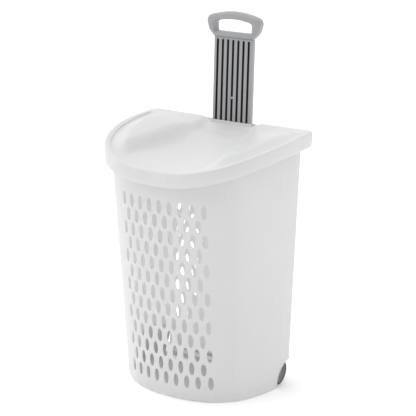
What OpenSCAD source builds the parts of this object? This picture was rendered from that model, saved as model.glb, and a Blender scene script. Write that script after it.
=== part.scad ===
// Wheeled laundry hamper: a D-shaped perforated basket with a saddle-shaped lid,
// a ribbed pull-up handle that slides in a guide on the back wall, and two wheels
// on one axle in the rear bottom corners.
// Millimetres. +Z up, front towards -Y, origin on the floor under the basket.

/* [Basket] */
// Height of the basket's mouth at the front, where the lid's skirt ends
rim_front_z = 568; // [475:1:620]
// Half width of the basket at the floor, at the back corners
foot_half_w = 213; // [190:1:230]
// Half width of the basket at the top, at the back corners
top_half_w = 223; // [200:1:240]
// Distance from the origin to the front of the foot
foot_front = 129; // [110:1:150]
// Distance from the origin to the front of the top
top_front = 161; // [140:1:180]
// Distance from the origin to the back wall at the floor
foot_back = 127; // [110:1:150]
// Backward lean of the back wall and of the handle, in degrees
back_lean = 2.6; // [1:0.1:5]
// Wall thickness of the mouldings
wall = 2.6; // [2:0.1:4]
// Width of the stiffening flange round the mouth
flange_w = 7; // [4:0.5:7]

/* [Perforations] */
// Width of one oval hole
hole_w = 13.5; // [8:0.5:18]
// Height of one oval hole
hole_h = 34.5; // [20:0.5:40]
// Sideways pitch of the holes
hole_pitch = 29.3; // [26:0.1:30]
// Height from one row to the next, which is staggered
row_pitch = 38; // [36:0.5:40]
// Height of the lowest row on the front
front_row_z = 53; // [45:1:70]
// Height of the lowest row on the back
back_row_z = 114; // [100:1:130]

/* [Lid] */
// How far the lid's skirt stands out past the basket's side
lid_side_reach = 20; // [16:0.5:24]
// How far the lid's skirt stands out past the basket's front
lid_front_reach = 24; // [22:1:40]
// Rise of the skirt's lower edge from front to back
rim_back_rise = 17; // [0:1:30]
// Rise of that edge from the middle to the sides
rim_side_rise = 41; // [0:1:60]
// Height of the lid's edge above the lower edge of its skirt
lid_edge_h = 36; // [28:1:45]
// Height of the two raised flanks above the lid's edge
flank_h = 28; // [0:1:35]
// Radius of the lid's back corners
lid_corner_r = 20; // [10:1:30]
// Drop of the scoop in front of the handle
scoop_drop = 9; // [6:1:12]
// Diameter of a hinge pin
hinge_pin_d = 6; // [4:0.5:8]
// Distance of a hinge from the middle of the lid
hinge_x = 120; // [100:1:150]

/* [Handle] */
// Width of the ribbed panel
panel_w = 114; // [90:1:118]
// Thickness of the ribbed panel
panel_t = 14; // [10:1:16]
// Length of the ribbed panel
panel_l = 350; // [300:1:400]
// How far the panel stands above the lid's front edge when it is pulled out
panel_reach = 304; // [280:1:320]
// Number of grooves in the panel
groove_count = 7; // [3:2:7]
// Width of the plain margin at each side of the grooves
groove_margin = 7.6; // [5:0.1:12]
// Width of a groove
groove_w = 6.4; // [4:0.1:9]
// Depth of a groove
groove_depth = 6; // [2:0.5:8]
// Height of the grip
grip_h = 66; // [60:1:80]
// Width of the grip
grip_w = 162; // [150:1:175]
// Depth of the grip, front to back
grip_t = 27; // [22:1:32]
// Half width of the hand opening
hand_half_w = 55; // [48:1:58]
// Height of the hand opening
hand_h = 33; // [30:1:36]
// How far the handle slides down into its guide
handle_travel = 205; // [150:1:206]
// Space between the basket's back wall and the panel
guide_gap = 13; // [11:1:16]

/* [Wheels] */
// Radius of a wheel
wheel_r = 35; // [30:1:36]
// Width of a wheel
wheel_w = 24; // [18:1:26]
// Height of the wheels above the floor while the basket stands
wheel_lift = 1.2; // [1:0.1:3]
// Diameter of the axle
axle_d = 8; // [6:0.5:10]
// How far a wheel's outer face lies inside the basket's foot
wheel_inset = 9; // [9:0.5:14]
// Radius of the open corner round a wheel
corner_cut_r = 54; // [52:1:58]

/* [Hidden] */
// slack of a shaft in its hole, and of pieces that slide or face each other
fit = 0.06;
slide_gap = 0.5;
skin_gap = 0.3;
eps = 0.01;
fine = 48;
plain = 28;

// plan of the basket: crease between front and side, and bow of each stretch
back_slope = tan(back_lean);
basket_h = rim_front_z + 40;
rim_back_z = rim_front_z + rim_back_rise + rim_side_rise;
foot_crease = [foot_half_w - 44, -foot_front + 70];
top_crease = [top_half_w - 43, -top_front + 59];
front_bow = [97, 48];
side_bow = [52, 70];
crease_front_angle = 45;
crease_side_angle = 30;
corner_r = 20;
front_steps = 10;
side_steps = 6;
corner_steps = 4;
back_steps = 2;

// rows of holes in the basket, an odd number so that both end rows are full ones
front_clear = 38;
back_clear = 90;
front_rows = 2 * floor((rim_front_z - front_row_z - front_clear) / (2 * row_pitch)) + 1;
back_rows = 2 * floor((rim_back_z - back_row_z - back_clear) / (2 * row_pitch)) + 1;
hole_sides = 6;
hole_draft = 0.6;
front_columns = 4;
back_first_x = 87;
back_columns = 3;

// mouth of the basket under the lid
mouth_h = 12;
flange_t = 3;

// lid
lid_back_reach = 21.57;
saddle_inset = 9;
lid_half_w = top_half_w + lid_side_reach;
lid_front = top_front + lid_front_reach;
lid_back = foot_back + rim_back_z * back_slope + lid_back_reach;
lid_depth = lid_front + lid_back;
lid_front_bow = [47, 0];
lid_side_bow = [25, -39];
lid_steps = 22;
lid_centre_y = 10;
notch_half_w = panel_w / 2 + 5;
notch_front_y = foot_back + (rim_back_z + 24) * back_slope + guide_gap - 1.5;
fan_front_half = 133;
fan_back_half = 48;
fan_slope_w = 62;

// lid hinge
hinge_y = lid_back - 11;
hinge_pin_r = hinge_pin_d / 2;
knuckle_r = hinge_pin_r + 3;
hinge_drop = knuckle_r + 9;
hinge_z = rim_back_z + lid_edge_h - hinge_drop;
back_skirt_h = 6;
lug_w = 15;
ear_w = 12;
ear_gap = 0.5;

// handle guide, in the leaning frame of the back wall
panel_top_z = rim_front_z + panel_reach;
groove_pitch = (panel_w - 2 * groove_margin - groove_w) / (groove_count - 1);
guide_top = rim_front_z + 44;
guide_bottom = panel_top_z - panel_l - handle_travel - 14;
guide_half_w = panel_w / 2 + slide_gap + wall;
guide_back = guide_gap + panel_t + slide_gap + wall;
guide_flange = 12;
rail_w = 10;
stop_h = 8;
screw_r = 2;
screw_head_r = 4;
screw_head_t = 2.2;
screw_rows = [0.06, 0.5, 0.94];
spigot = [panel_w - 24, panel_t - 6, 14];
grip_arch_r = 224;
hand_arch_r = 190;
grip_bar = 14;
grip_screw_x = spigot[0] / 2 - 9;
grip_neck_h = 17;
grip_shoulder_h = 44;
foot_rail_h = 8;
rail_reach = 6;
stud_drop = 154;
stud_z = panel_top_z - stud_drop;
stud_r = 4;

// wheels
well_gap = 4;
wheel_face_x = foot_half_w - wheel_inset;
well_x = wheel_face_x - wheel_w - 15;
axle_y = foot_back - wheel_r - well_gap;
axle_z = wheel_r + wheel_lift;
bearing_l = 14;
bearing_half = 12;
axle_r = axle_d / 2;
hub_r = wheel_r - 7;
cap_r = axle_r + 4;
cap_t = 2.5;
cap_floor = 1;
cap_grip = 0.02;
hub_w = wheel_w - 2;
axle_end_x = wheel_face_x - wheel_w + hub_w + skin_gap + cap_t - cap_floor - fit;
tunnel_half_w = axle_r + 3;
corner_cut_y = foot_back - 11;
corner_cut_z = 14;

// ---- curves ----
function mix(a, b, t) = a + (b - a) * t;
function smooth(t) = let (u = min(1, max(0, t))) u * u * (3 - 2 * u);
function bezier(a, b, c, d, t) =
    pow(1 - t, 3) * a + 3 * pow(1 - t, 2) * t * b + 3 * (1 - t) * t * t * c + pow(t, 3) * d;

// a closed outline from its right half, which runs from front centre to back centre
function both_sides(half) =
    concat(half, [for (i = [len(half) - 2 : -1 : 1]) [-half[i][0], half[i][1]]]);

// each point moved inwards along the outline's normal
function moved_in(outline, d) = let (n = len(outline)) [for (i = [0 : n - 1])
    let (a = outline[(i + n - 1) % n], b = outline[(i + 1) % n], t = (b - a) / norm(b - a))
    outline[i] + d * [-t[1], t[0]]];

// right half of the basket's plan at height z
function basket_half(z) =
    let (k = z / basket_h,
         crease = mix(foot_crease, top_crease, k),
         front = [0, -mix(foot_front, top_front, k)],
         corner = [mix(foot_half_w, top_half_w, k), foot_back + z * back_slope],
         turn = corner - [corner_r, corner_r],
         side_end = [corner[0], turn[1]],
         towards = [cos(crease_front_angle), sin(crease_front_angle)],
         away = [sin(crease_side_angle), cos(crease_side_angle)])
    concat(
        [for (i = [0 : front_steps]) bezier(front, front + [front_bow[0], 0],
            crease - front_bow[1] * towards, crease, i / front_steps)],
        [for (i = [1 : side_steps]) bezier(crease, crease + side_bow[0] * away,
            side_end - [0, side_bow[1]], side_end, i / side_steps)],
        [for (i = [1 : corner_steps]) let (a = 90 * i / corner_steps)
            turn + corner_r * [cos(a), sin(a)]],
        [for (i = [1 : back_steps]) [turn[0] * (1 - i / back_steps), corner[1]]]);

function basket_plan(z) = both_sides(basket_half(z));

// height of the lid skirt's lower edge over a point of the plan: a shallow saddle
function rim_z(p) =
    let (s = min(1, max(0, (p[1] + lid_front) / lid_depth)), back = pow(s, 4))
    rim_front_z + rim_back_rise * s
    + rim_side_rise * mix(pow(p[0] / (lid_half_w - saddle_inset), 2), 1, back);

// a ring at one height, or at a height that follows the rim
function level_ring(z, d) = [for (p = moved_in(basket_plan(z), d)) [p[0], p[1], z]];
function rim_ring(lift, d) = [for (p = moved_in(basket_plan(basket_h), d))
    [p[0], p[1], rim_z(p) + lift]];

// a solid through rings of points, closed at both ends by a fan about a middle point
module lofted(rings, low, high) {
    n = len(rings[0]);
    m = len(rings);
    points = concat([low], [for (r = rings) each r], [high]);
    sides = [for (j = [0 : m - 2], i = [0 : n - 1])
        let (a = 1 + j * n + i, b = 1 + j * n + (i + 1) % n)
        each [[a, b + n, b], [a, a + n, b + n]]];
    bottom = [for (i = [0 : n - 1]) [0, 1 + i, 1 + (i + 1) % n]];
    top = [for (i = [0 : n - 1])
        [1 + m * n, 1 + (m - 1) * n + (i + 1) % n, 1 + (m - 1) * n + i]];
    polyhedron(points, concat(bottom, sides, top));
}

// ---- frames of reference ----
module on_back() {
    translate([0, foot_back, 0]) rotate([-back_lean, 0, 0]) children();
}
module along_x(x0, x1, y, z, r, sides = fine) {
    translate([x0, y, z]) rotate([0, 90, 0]) cylinder(r = r, h = x1 - x0, $fn = sides);
}

// ---- basket ----
module basket_outside() {
    lofted([level_ring(0, 7), level_ring(2.5, 2.5), level_ring(9, 0),
            rim_ring(mouth_h - flange_t, 0), rim_ring(mouth_h - flange_t, -flange_w),
            rim_ring(mouth_h, -flange_w)],
           [0, 0, 0], [0, 0, rim_z([0, 0]) + mouth_h]);
}
module basket_inside() {
    lofted([level_ring(wall, 8), level_ring(wall + 4, wall + 2), level_ring(14, wall),
            rim_ring(mouth_h + 20, wall)],
           [0, 0, wall], [0, 0, rim_z([0, 0]) + mouth_h + 20]);
}
// space round one wheel: the wheel's own pocket and the open back corner
module wheel_space(grow, x0, x1) {
    pocket_r = wheel_r + well_gap + grow;
    along_x(x0, x1, axle_y, axle_z, pocket_r, plain);
    translate([x0, axle_y - pocket_r, -1]) cube([x1 - x0, 2 * pocket_r, axle_z + 1]);
    along_x(x0, x1, corner_cut_y, corner_cut_z, corner_cut_r + grow, plain);
}
// opening of that space in the side and back walls
module corner_opening() {
    along_x(well_x, foot_half_w + 20, corner_cut_y, corner_cut_z, corner_cut_r, plain);
    translate([0, 0, -1]) intersection() {
        linear_extrude(2 * corner_cut_r) polygon(moved_in(basket_plan(0), wall + 4));
        wheel_space(0, well_x, foot_half_w);
    }
    along_x(well_x, foot_half_w - 8, axle_y, axle_z, wheel_r + well_gap, plain);
    translate([well_x, axle_y - wheel_r - well_gap, -1])
        cube([foot_half_w - 12 - well_x, 2 * (wheel_r + well_gap), axle_z + 1]);
}
module axle_tunnel(grow) {
    translate([-well_x - 1, axle_y - tunnel_half_w - grow, -1])
        cube([2 * well_x + 2, 2 * (tunnel_half_w + grow), axle_z + tunnel_half_w + 1 + grow]);
}
// one oval hole, a little wider outside than inside; y0 to y1 is its depth
module oval_hole(x, z, y0, y1, squeeze) {
    hull() {
        for (end = [[y0, hole_draft], [y1, -hole_draft]])
            translate([x, end[0], z]) rotate([90, 0, 0]) linear_extrude(eps)
                polygon([for (i = [0 : hole_sides - 1]) let (a = 360 * (i + 0.5) / hole_sides)
                    [(hole_w + end[1]) / 2 * squeeze * cos(a), (hole_h + end[1]) / 2 * sin(a)]]);
    }
}
module front_holes() {
    for (row = [0 : front_rows - 1]) {
        half = (row % 2) / 2;
        for (c = [-front_columns + half : front_columns - half])
            oval_hole(c * hole_pitch, front_row_z + row * row_pitch,
                      -top_front - 20, -foot_front + 65, cos(31 * c / front_columns));
    }
}
module back_holes() {
    for (row = [0 : back_rows - 1], side = [-1, 1]) {
        half = (row % 2) / 2;
        z = back_row_z + row * row_pitch;
        y = foot_back + z * back_slope;
        for (c = [half : back_columns - 1 - half])
            oval_hole(side * (back_first_x + c * hole_pitch), z, y - 8, y + 4, 1);
    }
}
// ear that carries a hinge pin, on the outside of the back wall
module hinge_ear(x0) {
    wall_y = foot_back + (rim_z([0, lid_back]) - 2) * back_slope;
    hull() {
        along_x(x0, x0 + ear_w, hinge_y, hinge_z, knuckle_r, plain);
        translate([x0, wall_y - wall - 1, rim_z([0, lid_back]) - 34])
            cube([ear_w, wall, 34 + mouth_h - flange_t]);
    }
}
module basket() {
    color("whitesmoke") difference() {
        union() {
            difference() {
                basket_outside();
                difference() {
                    basket_inside();
                    for (side = [0, 1]) mirror([side, 0, 0]) wheel_space(wall, well_x - wall, foot_half_w + 17);
                    axle_tunnel(wall);
                }
            }
            for (side = [0, 1]) mirror([side, 0, 0]) {
                hinge_ear(hinge_x - lug_w / 2 - ear_gap - ear_w);
                hinge_ear(hinge_x + lug_w / 2 + ear_gap);
                intersection() {
                    translate([well_x - wall - bearing_l, axle_y - bearing_half, 0])
                        cube([bearing_l, 2 * bearing_half, axle_z + bearing_half]);
                    axle_tunnel(wall);
                }
            }
        }
        for (side = [0, 1]) mirror([side, 0, 0]) corner_opening();
        intersection() {
            axle_tunnel(0);
            translate([-well_x + wall + bearing_l, 0, -1])
                cube([2 * (well_x - wall - bearing_l), 300, 100]);
        }
        along_x(-well_x - 1, well_x + 1, axle_y, axle_z, axle_r + fit);
        along_x(-200, 200, hinge_y, hinge_z, hinge_pin_r + fit);
        front_holes();
        back_holes();
    }
}

// ---- lid ----
function lid_half() =
    let (turn = [lid_half_w - lid_corner_r, lid_back - lid_corner_r])
    concat(
        [for (i = [0 : lid_steps]) bezier([0, -lid_front], [0, -lid_front] + lid_front_bow,
            [lid_half_w, -lid_front] + lid_side_bow, [lid_half_w, turn[1]], i / lid_steps)],
        [for (i = [1 : corner_steps]) let (a = 90 * i / corner_steps)
            turn + lid_corner_r * [cos(a), sin(a)]],
        [for (i = [1 : 4]) [mix(turn[0], notch_half_w + 3, i / 4), lid_back]],
        [[notch_half_w, notch_front_y + 3], [notch_half_w - 3, notch_front_y],
         [notch_half_w / 2, notch_front_y], [0, notch_front_y]]);

// how far a point is outside the fan-shaped dip in the middle of the lid, 0 to 1
function flank(p) =
    let (s = min(1, max(0, (p[1] + lid_front) / lid_depth)),
         edge = mix(fan_front_half, fan_back_half, s))
    smooth((abs(p[0]) - edge) / fan_slope_w);
function scoop(p) =
    (1 - smooth((abs(p[0]) - notch_half_w) / 30)) * smooth((p[1] - 90) / 60);
// top of the lid; inward is the share of the way from the edge to the middle
function lid_top(p, inward) =
    rim_z(p) + lid_edge_h + flank_h * flank(p) * smooth(inward / 0.4) - scoop_drop * scoop(p);

// the skirt's lower edge runs out round the back corners, to clear the basket
function skirt_low(p) = rim_z(p)
    + (lid_edge_h - back_skirt_h) * smooth((p[1] - lid_back + lid_corner_r) / (lid_corner_r * 0.8));

module lid_shell() {
    outline = both_sides(lid_half());
    inner = moved_in(outline, wall);
    middle = [0, lid_centre_y];
    shares = [0.06, 0.14, 0.24, 0.36, 0.5, 0.65, 0.82];
    function pulled(points, f) = [for (p = points) mix(p, middle, f)];
    function top_ring(f, drop) = [for (p = pulled(outline, f))
        [p[0], p[1], lid_top(p, f) - drop]];
    under = [for (i = [len(shares) - 1 : -1 : 0]) top_ring(shares[i], wall)];
    edge = [
        [for (p = inner) [p[0], p[1], lid_top(p, 0) - wall]],
        [for (p = inner) [p[0], p[1], skirt_low(p)]],
        [for (p = outline) [p[0], p[1], skirt_low(p)]],
        [for (p = outline) [p[0], p[1], lid_top(p, 0) - 5]],
        [for (p = moved_in(outline, 1.5)) [p[0], p[1], lid_top(p, 0) - 1.5]],
        [for (p = moved_in(outline, 5)) [p[0], p[1], lid_top(p, 0)]]];
    over = [for (f = shares) top_ring(f, 0)];
    lofted(concat(under, edge, over),
           [0, lid_centre_y, lid_top(middle, 1) - wall], [0, lid_centre_y, lid_top(middle, 1)]);
}
module lid() {
    color("white") difference() {
        union() {
            lid_shell();
            for (side = [0, 1]) mirror([side, 0, 0]) translate([hinge_x - lug_w / 2, 0, 0]) {
                along_x(0, lug_w, hinge_y, hinge_z, knuckle_r);
                translate([0, hinge_y - knuckle_r, hinge_z])
                    cube([lug_w, 2 * knuckle_r, rim_z([hinge_x, hinge_y]) + lid_edge_h - 1 - hinge_z]);
            }
        }
        for (side = [-1, 1])
            along_x(side * hinge_x - lug_w, side * hinge_x + lug_w, hinge_y, hinge_z, hinge_pin_r + fit);
    }
}
module hinge_pin(side) {
    length = lug_w + 2 * (ear_w + ear_gap);
    color("lightgray") along_x(side * hinge_x - length / 2, side * hinge_x + length / 2,
                               hinge_y, hinge_z, hinge_pin_r);
}

// ---- handle ----
module handle_guide() {
    height = guide_top - guide_bottom;
    color("whitesmoke") on_back() difference() {
        translate([0, 0, guide_bottom]) union() {
            for (side = [0, 1]) mirror([side, 0, 0]) {
                translate([guide_half_w - wall, skin_gap, 0]) cube([wall, guide_back - skin_gap, height]);
                translate([guide_half_w - wall, skin_gap, 0]) cube([wall + guide_flange, wall, height]);
                translate([guide_half_w - rail_w, guide_gap - slide_gap - wall, 0])
                    cube([rail_w, wall, height]);
            }
            translate([-guide_half_w, guide_back - wall, 0]) cube([2 * guide_half_w, wall, height]);
            translate([-guide_half_w, skin_gap, 0]) cube([2 * guide_half_w, guide_back - skin_gap, wall]);
            translate([-guide_half_w, skin_gap, height - stop_h])
                cube([2 * guide_half_w, guide_gap - slide_gap - skin_gap, stop_h]);
        }
        for (side = [-1, 1], k = screw_rows)
            translate([side * (guide_half_w + guide_flange / 2), 0, mix(guide_bottom, guide_top, k)])
                rotate([-90, 0, 0]) cylinder(r = screw_r + fit, h = 3 * wall, center = true, $fn = fine);
    }
}
module guide_screws() {
    color("silver") on_back() for (side = [-1, 1], k = screw_rows)
        translate([side * (guide_half_w + guide_flange / 2), wall + skin_gap,
                   mix(guide_bottom, guide_top, k)]) rotate([-90, 0, 0]) {
            cylinder(r1 = screw_head_r, r2 = screw_head_r - 1, h = screw_head_t, $fn = fine);
            translate([0, 0, -7]) cylinder(r = screw_r, h = 7 + eps, $fn = fine);
        }
}
module groove(x) {
    low = panel_top_z - panel_l + 12;
    high = panel_top_z - 8;
    translate([x, guide_gap + groove_depth, 0]) rotate([90, 0, 0]) linear_extrude(groove_depth + 1) {
        translate([-groove_w / 2, low]) square([groove_w, high - low]);
        translate([0, high]) circle(d = groove_w, $fn = fine);
    }
}
module handle_panel() {
    bottom = panel_top_z - panel_l;
    color("darkgray") on_back() difference() {
        union() {
            translate([-panel_w / 2, guide_gap, bottom]) cube([panel_w, panel_t, panel_l]);
            translate([-spigot[0] / 2, guide_gap + (panel_t - spigot[1]) / 2, panel_top_z - eps])
                cube([spigot[0], spigot[1], spigot[2]]);
            translate([-guide_half_w + rail_w + 2, guide_gap - rail_reach, bottom])
                cube([2 * (guide_half_w - rail_w - 2), rail_reach + eps, foot_rail_h]);
        }
        for (i = [0 : groove_count - 1]) groove((i - (groove_count - 1) / 2) * groove_pitch);
        translate([0, guide_gap + panel_t / 2, stud_z]) rotate([90, 0, 0])
            cylinder(r = stud_r / 2, h = panel_t + 2, center = true, $fn = fine);
    }
}
module grip_outline() {
    half = grip_w / 2;
    intersection() {
        polygon([[-panel_w / 2, 0], [panel_w / 2, 0], [half - 7, grip_neck_h],
                 [half, grip_shoulder_h], [half - 9, grip_h], [9 - half, grip_h],
                 [-half, grip_shoulder_h], [7 - half, grip_neck_h]]);
        translate([0, grip_h - grip_arch_r]) circle(r = grip_arch_r, $fn = 180);
    }
}
module hand_opening() {
    intersection() {
        translate([-hand_half_w, grip_bar]) square([2 * hand_half_w, hand_h]);
        translate([0, grip_bar + hand_h - hand_arch_r]) circle(r = hand_arch_r, $fn = 180);
    }
}
module handle_grip() {
    mid = guide_gap + panel_t / 2;
    color("gray") on_back() difference() {
        translate([0, mid + grip_t / 2, panel_top_z]) rotate([90, 0, 0])
            linear_extrude(grip_t) difference() {
                grip_outline();
                hand_opening();
            }
        translate([-spigot[0] / 2 - fit, mid - spigot[1] / 2 - fit, panel_top_z - 1])
            cube([spigot[0] + 2 * fit, spigot[1] + 2 * fit, spigot[2] + 1 + fit]);
        for (side = [-1, 1]) translate([side * grip_screw_x, mid, panel_top_z + spigot[2] / 2]) rotate([-90, 0, 0]) {
            cylinder(r = screw_r + fit, h = grip_t, $fn = fine);
            translate([0, 0, grip_t / 2 - 3]) cylinder(r = screw_head_r + fit, h = 4, $fn = fine);
        }
    }
}
module grip_screws() {
    mid = guide_gap + panel_t / 2;
    color("silver") on_back() for (side = [-1, 1])
        translate([side * grip_screw_x, mid - 3, panel_top_z + spigot[2] / 2]) rotate([-90, 0, 0]) {
            cylinder(r = screw_r, h = grip_t / 2, $fn = fine);
            translate([0, 0, grip_t / 2]) cylinder(r = screw_head_r, h = screw_head_t, $fn = fine);
        }
}
module detent_stud() {
    color("gainsboro") on_back() translate([0, guide_gap, stud_z]) rotate([-90, 0, 0]) {
        cylinder(r = stud_r / 2 - fit, h = panel_t - 1, $fn = fine);
        translate([0, 0, groove_depth - 4]) cylinder(r = stud_r - 1, h = 4 - fit, $fn = fine);
    }
}

// ---- axle and wheels ----
module axle() {
    color("silver") along_x(-axle_end_x, axle_end_x, axle_y, axle_z, axle_r);
}
module at_wheel(side) {
    inner = wheel_face_x - wheel_w;
    mirror([side < 0 ? 1 : 0, 0, 0]) translate([inner, axle_y, axle_z]) rotate([0, 90, 0]) children();
}
module wheel_hub(side) {
    color("dimgray") at_wheel(side) rotate_extrude($fn = 96) polygon([
        [axle_r + fit, -6], [axle_r + 5, -6], [axle_r + 5, 0], [hub_r - 4, 2], [hub_r - 4, 1],
        [hub_r, 1], [hub_r, wheel_w - 1], [hub_r - 3, wheel_w - 1], [hub_r - 4, wheel_w - 3],
        [hub_r - 10, wheel_w - 3], [hub_r - 11, wheel_w - 2], [cap_r + 5, wheel_w - 2],
        [cap_r + 4, hub_w], [axle_r + fit, hub_w]]);
}
module wheel_tyre(side) {
    color("black") at_wheel(side) rotate_extrude($fn = 96) polygon([
        [hub_r + eps, 0], [wheel_r - 2, 0], [wheel_r, 2], [wheel_r, wheel_w - 2],
        [wheel_r - 2, wheel_w], [hub_r + eps, wheel_w]]);
}
module axle_cap(side) {
    color("dimgray") at_wheel(side) translate([0, 0, hub_w + skin_gap])
        rotate_extrude($fn = fine) polygon([
            [axle_r + cap_grip, 0], [cap_r, 0], [cap_r, cap_t / 2], [cap_r - 2, cap_t],
            [0, cap_t], [0, cap_t - cap_floor], [axle_r + cap_grip, cap_t - cap_floor]]);
}

basket();
lid();
hinge_pin(-1);  // hinge_pin_left
hinge_pin(1);  // hinge_pin_right
handle_guide();
guide_screws();
handle_panel();
handle_grip();
grip_screws();
detent_stud();
axle();
wheel_hub(-1);  // wheel_left_hub
wheel_tyre(-1);  // wheel_left_tyre
wheel_hub(1);  // wheel_right_hub
wheel_tyre(1);  // wheel_right_tyre
axle_cap(-1);  // axle_cap_left
axle_cap(1);  // axle_cap_right
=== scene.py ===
"""A wheeled laundry hamper: perforated D-shaped basket, saddle lid, pull-up handle and two wheels.

The script follows the hamper as it is put together. Sizes are in millimetres along the basket's own
axes (+Z up, front towards -Y) and become metres when a mesh is made.
"""
import math

import bmesh
import bpy
import numpy as np
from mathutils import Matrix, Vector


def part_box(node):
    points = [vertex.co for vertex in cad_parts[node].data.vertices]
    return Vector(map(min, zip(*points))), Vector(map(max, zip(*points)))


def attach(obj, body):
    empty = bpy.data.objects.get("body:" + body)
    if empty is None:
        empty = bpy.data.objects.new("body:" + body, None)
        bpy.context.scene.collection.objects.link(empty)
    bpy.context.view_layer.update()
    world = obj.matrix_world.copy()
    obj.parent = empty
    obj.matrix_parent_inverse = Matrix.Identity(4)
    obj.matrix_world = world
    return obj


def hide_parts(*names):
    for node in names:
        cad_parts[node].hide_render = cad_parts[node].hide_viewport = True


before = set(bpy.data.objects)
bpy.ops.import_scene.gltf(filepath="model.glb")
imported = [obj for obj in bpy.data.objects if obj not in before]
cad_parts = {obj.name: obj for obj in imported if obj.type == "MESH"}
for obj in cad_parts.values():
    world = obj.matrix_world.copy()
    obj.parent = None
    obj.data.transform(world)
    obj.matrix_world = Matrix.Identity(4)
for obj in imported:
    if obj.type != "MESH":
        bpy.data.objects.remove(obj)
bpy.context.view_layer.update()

# ---------------------------------------------------------------------------------------------
# Studio: a pale seamless floor, a pale sky with two soft suns, and a camera at chest height in
# front and to the right of the hamper. The floor gives off a little light of its own; the inner
# skin's glow is painted light.
# ---------------------------------------------------------------------------------------------
MM = 0.001
scene = bpy.context.scene
scene.view_settings.view_transform = "Standard"
PAPER_GLOW = 0.18
FLOOR_HALF = 40.0
SKY_DIM_SIDE = (0.44, -0.87, 0.20)


def linked(name, data):
    """An object of the data, in the scene."""
    piece = bpy.data.objects.new(name, data)
    scene.collection.objects.link(piece)
    return piece


def add_camera():
    """A long lens from 33 degrees to the right of straight ahead, looking 17 degrees down."""
    camera = bpy.data.cameras.new("camera")
    camera.lens = 121.43
    camera.sensor_width = 36.0
    camera.clip_end = 100.0
    holder = linked("camera", camera)
    holder.location = (1.870, -2.810, 1.488)
    holder.rotation_euler = (math.radians(90 - 16.843), 0.0, math.radians(33.072))
    scene.camera = holder


def shader(name):
    """A new node material with its Principled shader."""
    material = bpy.data.materials.new(name)
    material.use_nodes = True
    return material, material.node_tree.nodes["Principled BSDF"]


def object_place(tree):
    """The piece's own coordinates."""
    return tree.nodes.new("ShaderNodeTexCoord").outputs["Object"]


def add_floor():
    """One large plane, softly clouded so that it isn't a flat colour."""
    material, skin = shader("seamless_paper")
    tree = material.node_tree
    cloud = tree.nodes.new("ShaderNodeTexNoise")
    cloud.inputs["Scale"].default_value = 1.5
    tint = tree.nodes.new("ShaderNodeValToRGB")
    tint.color_ramp.elements[0].color = (0.93, 0.93, 0.93, 1)
    tint.color_ramp.elements[1].color = (0.96, 0.96, 0.96, 1)
    tree.links.new(object_place(tree), cloud.inputs["Vector"])
    tree.links.new(cloud.outputs["Fac"], tint.inputs["Fac"])
    tree.links.new(tint.outputs["Color"], skin.inputs["Base Color"])
    skin.inputs["Roughness"].default_value = 0.9
    skin.inputs["Specular IOR Level"].default_value = 0.1
    skin.inputs["Emission Color"].default_value = (1, 1, 1, 1)
    skin.inputs["Emission Strength"].default_value = PAPER_GLOW
    mesh = bpy.data.meshes.new("floor")
    corners = [(x * FLOOR_HALF, y * FLOOR_HALF, 0) for x, y in ((-1, -1), (1, -1), (1, 1), (-1, 1))]
    mesh.from_pydata(corners, [], [(0, 1, 2, 3)])
    mesh.materials.append(material)
    floor = linked("floor", mesh)


def add_lights():
    """A pale sky, dimmer in front, a soft sun from the upper left and one from almost overhead."""
    world = bpy.data.worlds.new("studio")
    world.use_nodes = True
    tree = world.node_tree
    way = tree.nodes.new("ShaderNodeTexCoord")
    front = tree.nodes.new("ShaderNodeVectorMath")
    front.operation = "DOT_PRODUCT"
    front.inputs[1].default_value = SKY_DIM_SIDE
    tree.links.new(way.outputs["Generated"], front.inputs[0])
    shade = tree.nodes.new("ShaderNodeMapRange")
    for label, value in (("From Min", 0.1), ("From Max", 0.95), ("To Min", 1.0), ("To Max", 0.42)):
        shade.inputs[label].default_value = value
    tree.links.new(front.outputs["Value"], shade.inputs["Value"])
    tree.links.new(shade.outputs["Result"], tree.nodes["Background"].inputs["Strength"])
    tree.nodes["Background"].inputs["Color"].default_value = (1.0, 1.0, 1.0, 1)
    scene.world = world
    for name, strength, spread, pitch, turn in (("key", 0.70, 80, 48, -75),
                                                ("top", 0.40, 40, 10, 40)):
        light = bpy.data.lights.new(name, "SUN")
        light.energy = strength
        light.angle = math.radians(spread)
        holder = linked(name, light)
        holder.rotation_euler = (math.radians(pitch), 0, math.radians(turn))


add_camera()
add_floor()
add_lights()

# ---------------------------------------------------------------------------------------------
# Basket: one large moulding in white polypropylene, 2.6 mm thick. The bow front and two fields
# of the back wall are pierced by staggered upright ovals with softened edges, the sides are plain,
# with a soft crease at the front, and the mouth has a stiffening flange with a turned-down lip.
# ---------------------------------------------------------------------------------------------
WALL = 2.6
PLAN_H = 608.0
LEAN = math.radians(2.6)
BACK_SLOPE = math.tan(LEAN)
FOOT = {"half_w": 213.0, "front": -129.0, "crease": (169.0, -59.0), "back": 127.0}
TOP = {"half_w": 223.0, "front": -161.0, "crease": (180.0, -102.0),
       "back": 127.0 + PLAN_H * BACK_SLOPE}
CORNER_R = 20.0
HOLE_W, HOLE_H = 13.5, 34.5
HOLE_PITCH, ROW_PITCH = 29.3, 38.0
FRONT_ROW_Z, FRONT_ROWS = 53.0, 13
BACK_ROW_Z, BACK_ROWS = 114.0, 11
FRONT_EDGE = 4.5 * HOLE_PITCH
BACK_FIELD = (87.0 - HOLE_PITCH / 2, 87.0 + 2.5 * HOLE_PITCH)
CELL_STEPS = 8
FOOT_R = 7.0
FLOOR_BLEND = 14.0
MOUTH_LEVEL, MOUTH_OVER_RIM = 580.0, 12.0
WELD = 0.01
TUBE_SIDES = 10
CORNER_STEPS = 7
PAST_SIDE = 245.0
WELL_X, CUT_Y, CUT_Z, CUT_R = 165.0, 116.0, 14.0, 54.0
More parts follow.
